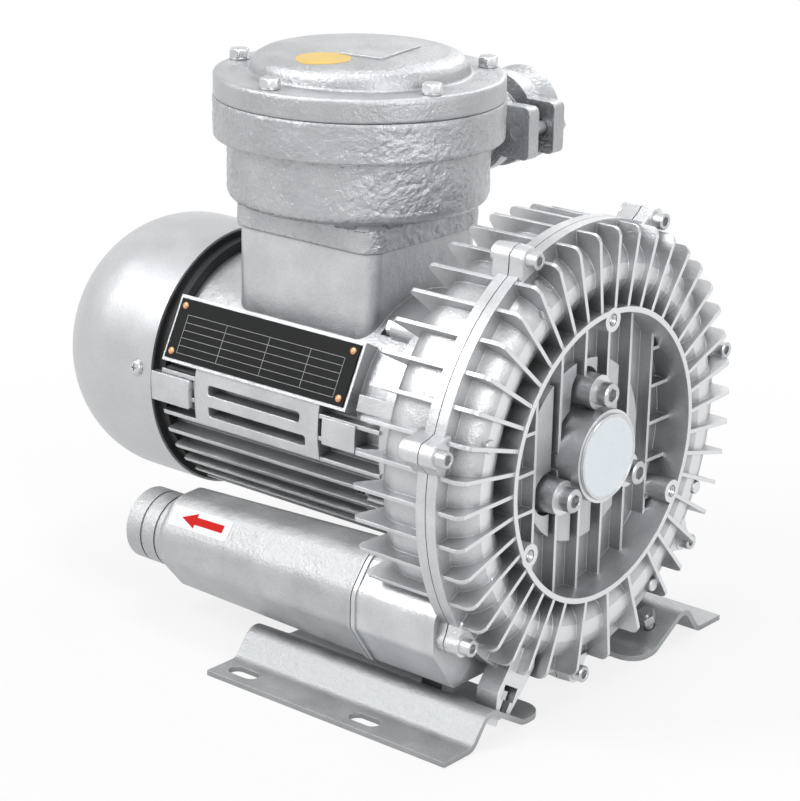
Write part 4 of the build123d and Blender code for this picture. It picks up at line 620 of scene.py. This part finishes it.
# Ejector marks: short round bosses on the cover's ring, cast in one with it, where the pins pushed it out of
# the mould. Each is given by its circle about the shaft and its angle.
ring_face_x = 0.1040
ejector_profile = [(0.0, -0.0150), (0.0040, -0.0150), (0.0038, 0.0), (0.0033, 0.0005), (0.0, 0.0005)]
ejector_places = ((0.1000, 163.2), (0.1040, 120.9), (0.1045, 60.0), (0.1050, -25.0), (0.1080, -58.0),
                  (0.0990, -153.0))
ejectors = [rings(ejector_profile, about_shaft(ring_face_x, circle, angle), (1, 0, 0), sides=28)
            for circle, angle in ejector_places]
surface("ejector_bosses", ejectors, housing_silver, sharp=35.0)


# Flange lugs: the casting gathers into a square-sided block round each of the seven screws, with a web down
# to the ring on both sides, drafted towards its far face.
def rounded_corners(points, radius, steps=6):
    """Outline whose corners are replaced by short curves, each a quadratic between its two sides."""
    made = []
    count = len(points)
    for k in range(count):
        before, here, after = (np.array(points[(k + step) % count], float) for step in (-1, 0, 1))
        first = here + (before - here) * min(0.5, radius / np.linalg.norm(before - here))
        last = here + (after - here) * min(0.5, radius / np.linalg.norm(after - here))
        for t in np.linspace(0, 1, steps):
            made.append((1 - t) ** 2 * first + 2 * t * (1 - t) * here + t ** 2 * last)
    return np.array(made)


def lug_web(angle, near_x, far_x):
    """Block on the flange at that angle: its outline, in distances along and out from the flange's circle,
    shrinks a little from the joint at near_x to far_x."""
    outline = rounded_corners([(-0.0130, 0.1190), (-0.0067, 0.1290), (-0.0051, 0.1332), (0.0051, 0.1332),
                               (0.0067, 0.1290), (0.0130, 0.1190)], radius=0.0028)
    middle = np.array([0.0, 0.1240])
    lean = 0.0007 if far_x > near_x else -0.0007
    rows = np.array([(near_x, 0.0), (near_x, 1.0), (far_x - lean, 0.95), (far_x, 0.88), (far_x, 0.0)])
    flat = middle + rows[:, 1, None, None] * (outline - middle)
    along, out = flat[..., 0], flat[..., 1]
    return np.stack([rows[:, :1] + 0 * out, out * math.cos(angle) - along * math.sin(angle),
                     shaft_height + out * math.sin(angle) + along * math.cos(angle)], axis=-1)


lug_webs = [lug_web(math.radians(angle), near_x, far_x)
            for angle in flange_angles for near_x, far_x in ((0.0866, 0.0941), (0.0859, 0.0752))]
surface("flange_lug_webs", lug_webs, housing_silver, sharp=30.0)


# Motor's side below the nameplate: the sand core left a web across the fins with two long windows, a block
# at the fan end and one at the blower end, all one casting with the frame.
web_foot, web_top, fan_block_top, end_block_top = 0.0645, 0.0750, 0.0765, 0.0757
web_x0, web_x1 = -0.1565, 0.0005
web_angle0, web_angle1 = math.radians(166.0), math.radians(197.0)


def round_rectangle_distance(x, s, box, corner):
    """Distance from a rectangle with round corners, less than 0 inside: beyond a corner's middle it is the
    length to it, and otherwise the larger of the two side distances, less the corner's radius."""
    (x0, x1), (s0, s1) = box
    past_x = np.abs(x - (x0 + x1) / 2) - (x1 - x0) / 2 + corner
    past_s = np.abs(s - (s0 + s1) / 2) - (s1 - s0) / 2 + corner
    return (np.hypot(np.maximum(past_x, 0), np.maximum(past_s, 0))
            + np.minimum(np.maximum(past_x, past_s), 0) - corner)


web_x, web_turn = np.meshgrid(np.linspace(web_x0, web_x1, 225), np.linspace(web_angle0, web_angle1, 92))


def web_arc(first, last):
    """The two angles in degrees as arc lengths at the web's face."""
    return math.radians(first) * web_top, math.radians(last) * web_top


web_s = web_turn * web_top
web_field = round_rectangle_distance(web_x, web_s, ((-0.1205, -0.0275), web_arc(167.5, 193.2)), 0.001)
for window in (((-0.1090, -0.0420), web_arc(174.3, 177.9)), ((-0.1090, -0.0380), web_arc(183.9, 187.6))):
    web_field = np.maximum(web_field, -round_rectangle_distance(web_x, web_s, window, 0.0014))
fan_block = round_rectangle_distance(web_x, web_s, ((-0.1550, -0.1225), web_arc(173.8, 187.2)), 0.0015)
end_block = round_rectangle_distance(web_x, web_s, ((-0.0255, -0.0010), web_arc(172.3, 184.8)), 0.0010)
web_wall = 0.0011


def raised(field, top):
    """How far a part of the web stands over the frame: a smooth step across its outline."""
    step = np.clip(0.5 - field / web_wall, 0, 1)
    return (top - web_foot) * step * step * (3 - 2 * step)


web_radius = web_foot + np.maximum.reduce([raised(web_field, web_top), raised(fan_block, fan_block_top),
                                           raised(end_block, end_block_top)])
web_bump, web_bump_height = 0.0035, 0.00012
web_uneven = smooth_noise(np.stack([web_x, web_s, 0 * web_x], axis=-1), web_bump, 31) * web_bump_height
web_radius = np.pad((web_radius + web_uneven)[1:-1, 1:-1], 1, constant_values=web_foot)
web_face = np.stack([web_x, web_radius * np.cos(web_turn), shaft_height + web_radius * np.sin(web_turn)],
                    axis=-1)
web_back = np.stack([web_x, web_foot * np.cos(web_turn), shaft_height + web_foot * np.sin(web_turn)],
                    axis=-1)
surface("frame_side_web", [web_face, web_back], frame_silver, wrap=False, sharp=40.0)


# Fan cover's screws: zinc plated pan heads with a cross recess, each on a flat washer. Three of them go
# through the cowl's rim into the rear shield.
cowl_screw_x, cowl_seat = -0.1636, 0.0769


def pan_head_screw(angle):
    """Turned body whose last rows shrink to a cross: two bars, each the least of an arm's length and its
    half width over the sine or cosine of the turn."""
    turn = np.linspace(0.0, 2 * math.pi, 64, endpoint=False)
    arm, half = 0.0021, 0.00038
    cross = np.maximum(np.minimum(arm, half / np.maximum(np.abs(np.sin(turn)), 1e-6)),
                       np.minimum(arm, half / np.maximum(np.abs(np.cos(turn)), 1e-6)))
    rows = np.array([(0.0, -0.0090), (0.0020, -0.0090), (0.0020, 0.0), (0.0047, 0.0), (0.0047, 0.0006),
                     (0.0041, 0.0006), (0.0042, 0.0013), (0.0038, 0.0020), (0.0030, 0.0024),
                     (0.0024, 0.0025)])
    reach = np.concatenate([rows[:, :1] + 0 * turn, cross[None], cross[None] * 0.8, 0 * cross[None]])
    height = np.concatenate([rows[:, 1], [0.0025, 0.0010, 0.0009]])[:, None]
    out = np.array([0.0, math.cos(angle), math.sin(angle)])
    side = np.array([0.0, -math.sin(angle), math.cos(angle)])
    seat = np.array([cowl_screw_x, 0.0, shaft_height]) + cowl_seat * out
    return (seat + height[..., None] * out + (reach * np.cos(turn))[..., None] * np.array([1.0, 0, 0])
            + (reach * np.sin(turn))[..., None] * side)


fan_cover_pans = [pan_head_screw(math.radians(angle)) for angle in (174.6, 54.6, -65.4)]
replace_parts(surface("fan_cover_pan_screws", fan_cover_pans, zinc, sharp=28.0), "fan_cover_screws")


# Nameplate: black enamelled sheet with a ruled table in pale lines, held on the frame's cast pad by four
# domed copper rivets.
plate_black = plain_finish("plate_black", (0.008, 0.0085, 0.009), metallic=0.0, roughness=0.42,
                           grain=0.0006, depth=0.00002, shine=0.15)
dress(plate_black, "nameplate")
plate_turn = math.radians(153.6)
plate_out = np.array([0.0, math.cos(plate_turn), math.sin(plate_turn)])
plate_up = np.array([0.0, math.sin(plate_turn), -math.cos(plate_turn)])
plate_middle = np.array([-0.077, 0.0, shaft_height]) + 0.0753 * plate_out


def plate_strip(x0, x1, v0, v1):
    """Flat strip on the plate's face from x0 to x1 and from v0 to v1 up its slope, with a thin edge."""
    across = np.array([(x0, v0), (x1, v0), (x1, v1), (x0, v1)])
    rise = 0.00006
    rows = []
    for scale, lift in ((0.0, rise), (1.0, rise), (1.0, -0.00005)):
        centre = across.mean(axis=0)
        flat = centre + (across - centre) * scale
        rows.append(plate_middle + flat[:, :1] * np.array([1.0, 0, 0]) + flat[:, 1:] * plate_up
                    + lift * plate_out)
    return np.stack(rows)


rule_white = plain_finish("rule_white", (0.55, 0.56, 0.57), metallic=0.0, roughness=0.5, grain=0.0005,
                          depth=0.00001)
rule = 0.00022
rule_left, rule_right, rule_low, rule_high = -0.058, 0.058, -0.0135, 0.0085
rule_rows = np.linspace(rule_low, rule_high, 6)
rule_columns = (rule_left, -0.028, 0.004, 0.034, rule_right)
rules = [plate_strip(rule_left, rule_right, v - rule / 2, v + rule / 2) for v in rule_rows]
rules += [plate_strip(x - rule / 2, x + rule / 2, rule_low, rule_high) for x in rule_columns]
surface("nameplate_rules", rules, rule_white)

rivet_copper = plain_finish("rivet_copper", (0.62, 0.33, 0.19), metallic=0.85, roughness=0.35, grain=0.0004,
                            depth=0.00003, tone=0.2)
rivet_dome = [(0.0, -0.0040), (0.0011, -0.0040), (0.0011, 0.0), (0.0020, 0.0), (0.0021, 0.0002),
              (0.0019, 0.0006), (0.0014, 0.0009), (0.0007, 0.0010), (0.0005, 0.0008), (0.0, 0.0008)]
rivet_along, rivet_across = np.array([0.062, 0.0, 0.0]), 0.01325 * plate_up
rivet_rings = [rings(rivet_dome, plate_middle + side_x * rivet_along + side_v * rivet_across, plate_out,
                     sides=32) for side_x in (-1, 1) for side_v in (-1, 1)]
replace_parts(surface("nameplate_domed_rivets", rivet_rings, rivet_copper),
            "nameplate_rivets")


# Silencers: castings under a thick silver coat, with turned hose spigots, and the feet: thick sheet, folded
# and then painted. A flow arrow on a white sticker is stuck on the front silencer beside its spigot.
silencer_silver = cast_metal("silencer_silver", (0.50, 0.51, 0.52), metallic=0.65, roughness=0.50,
                             grain=0.0012, grain_depth=0.00035, swell=0.004, swell_depth=0.0004)
dress(silencer_silver, "left_silencer", "right_silencer")
foot_silver = cast_metal("foot_silver", (0.46, 0.47, 0.48), metallic=0.65, roughness=0.52,
                         grain=0.0012, grain_depth=0.0003, swell=0.006, swell_depth=0.0003)
dress(foot_silver, "left_foot", "right_foot")

port_y, port_z = -0.080, 0.053
wall_rear_x, wall_front_x = -0.117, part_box("left_silencer")[1][0]
rear_corners = ((0.0240, -0.009), (0.0245, 0.010), (0.012, 0.0265), (-0.008, 0.0275))
front_corners = ((0.0280, -0.005), (0.0280, 0.014), (0.014, 0.0320), (-0.010, 0.0330))
wall_round = 0.012


def wall_run(corners):
    """The silencer's upper outer wall across its axis: two round corners and the flat between them."""
    before, first, second, after = np.array(corners)
    run = []
    for back, corner, ahead in ((before, first, second), (first, second, after)):
        inward = (back - corner) / np.linalg.norm(back - corner)
        onward = (ahead - corner) / np.linalg.norm(ahead - corner)
        half = math.acos(np.dot(inward, onward)) / 2
        middle = corner + (inward + onward) / np.linalg.norm(inward + onward) * wall_round / math.sin(half)
        start = corner + inward * wall_round / math.tan(half) - middle
        end = corner + onward * wall_round / math.tan(half) - middle
        part = np.linspace(0.0, 1.0, 24)[:, None]
        chord = start * (1 - part) + end * part
        run.append(middle + chord / np.linalg.norm(chord, axis=1)[:, None] * wall_round)
    return np.concatenate(run)


rear_run, front_run = wall_run(rear_corners), wall_run(front_corners)
run_length = np.concatenate([[0.0], np.cumsum(np.linalg.norm(np.diff(rear_run, axis=0), axis=1))])


def on_silencer(x, along, lift):
    """Point on the front silencer's wall: the rear and front outlines are read at the same distance along
    the run and blended by x, then moved out by lift."""
    share = (x - wall_rear_x) / (wall_front_x - wall_rear_x)
    u, v = ((1 - share) * np.interp(along, run_length, rear_run[:, k])
            + share * np.interp(along, run_length, front_run[:, k]) for k in (0, 1))
    grow = 1 + lift / np.hypot(u, v)
    return np.stack([x, port_y - u * grow, port_z + v * grow], axis=-1)


def stuck_on(outline, lift, rows=9):
    """Sticker: an outline of (x, distance along the wall's run), filled from its middle and laid on."""
    middle = outline.mean(axis=0)
    part = np.concatenate([np.linspace(0.0, 1.0, rows), [1.0]])
    grid = middle + part[:, None, None] * (outline - middle)[None]
    lifts = np.concatenate([np.full(rows, lift), [-0.0002]])[:, None]
    return on_silencer(grid[..., 0], grid[..., 1], lifts + 0 * grid[..., 0])


sticker_white = plain_finish("sticker_white", (0.85, 0.85, 0.86), metallic=0.0, roughness=0.35,
                             grain=0.0005, depth=0.00001, tone=0.02)
arrow_red = plain_finish("arrow_red", (0.62, 0.012, 0.010), metallic=0.0, roughness=0.55, grain=0.0005,
                         depth=0.00001, tone=0.04, shine=0.15)
label_rear, label_front, label_low, label_high = -0.1155, -0.0700, 0.0085, 0.0205
label = rounded_corners([(label_rear, label_low), (label_front, label_low), (label_front, label_high),
                         (label_rear, label_high)], radius=0.002)
surface("flow_sticker", stuck_on(label, lift=0.00012), sticker_white)
arrow_level = (label_low + label_high) / 2
arrow_tip, arrow_neck, arrow_tail = -0.1068, -0.0960, -0.0750
arrow_half, shaft_half = 0.0042, 0.0021
head = [(arrow_tip, arrow_level), (arrow_neck, arrow_level - arrow_half),
        (arrow_neck, arrow_level + arrow_half)]
bar = [(arrow_neck - 0.0001, arrow_level - shaft_half), (arrow_tail, arrow_level - shaft_half),
       (arrow_tail, arrow_level + shaft_half), (arrow_neck - 0.0001, arrow_level + shaft_half)]
arrow = [stuck_on(rounded_corners(part, radius=0.0002, steps=3), lift=0.0002) for part in (head, bar)]
surface("flow_arrow", arrow, arrow_red)


# Inside and small pieces: turned steel and aluminium, copper, rubber, gasket sheet, foam and mouldings.
# Most hide in the castings, and show only when the blower is taken apart or looked into.
bearing_bright = plain_finish("bearing_bright", (0.62, 0.63, 0.65), metallic=1.0, roughness=0.12,
                              grain=0.0005, depth=0.000005)
core_grey = plain_finish("core_grey", (0.20, 0.21, 0.22), metallic=0.7, roughness=0.45, grain=0.0005,
                         depth=0.00005)
winding_copper = plain_finish("winding_copper", (0.50, 0.22, 0.09), metallic=0.6, roughness=0.35,
                              grain=0.0012, depth=0.0002)
stud_brass = plain_finish("stud_brass", (0.65, 0.47, 0.18), metallic=0.9, roughness=0.28, grain=0.0004,
                          depth=0.00001)
seal_rubber = plain_finish("seal_rubber", (0.02, 0.02, 0.021), metallic=0.0, roughness=0.6, grain=0.0005,
                           depth=0.00003)
gasket_grey = plain_finish("gasket_grey", (0.055, 0.056, 0.058), metallic=0.0, roughness=0.75, grain=0.0004,
                           depth=0.00004)
moulding_black = plain_finish("moulding_black", (0.03, 0.03, 0.032), metallic=0.0, roughness=0.5,
                              grain=0.0004, depth=0.00003)
foam_grey = plain_finish("foam_grey", (0.09, 0.09, 0.095), metallic=0.0, roughness=0.95, grain=0.0018,
                         depth=0.0008)
dress(turned_aluminium, "impeller", "impeller_spacer")
dress(bearing_bright, "front_outer_ring", "front_inner_ring", "front_balls", "rear_outer_ring",
      "rear_inner_ring", "rear_balls")
dress(core_grey, "stator_core", "rotor_core")
dress(winding_copper, "stator_windings")
dress(stud_brass, "terminal_studs")
dress(seal_rubber, "shaft_seal", "lid_seal", "gland_seal")
dress(gasket_grey, "cover_gasket", "box_gasket", "silencer_gaskets")
dress(moulding_black, "cooling_fan", "terminal_block")
dress(foam_grey, "silencer_foam")
dress(rivet_copper, "nameplate_rivets")
dress(cap_face, "hub_cap")
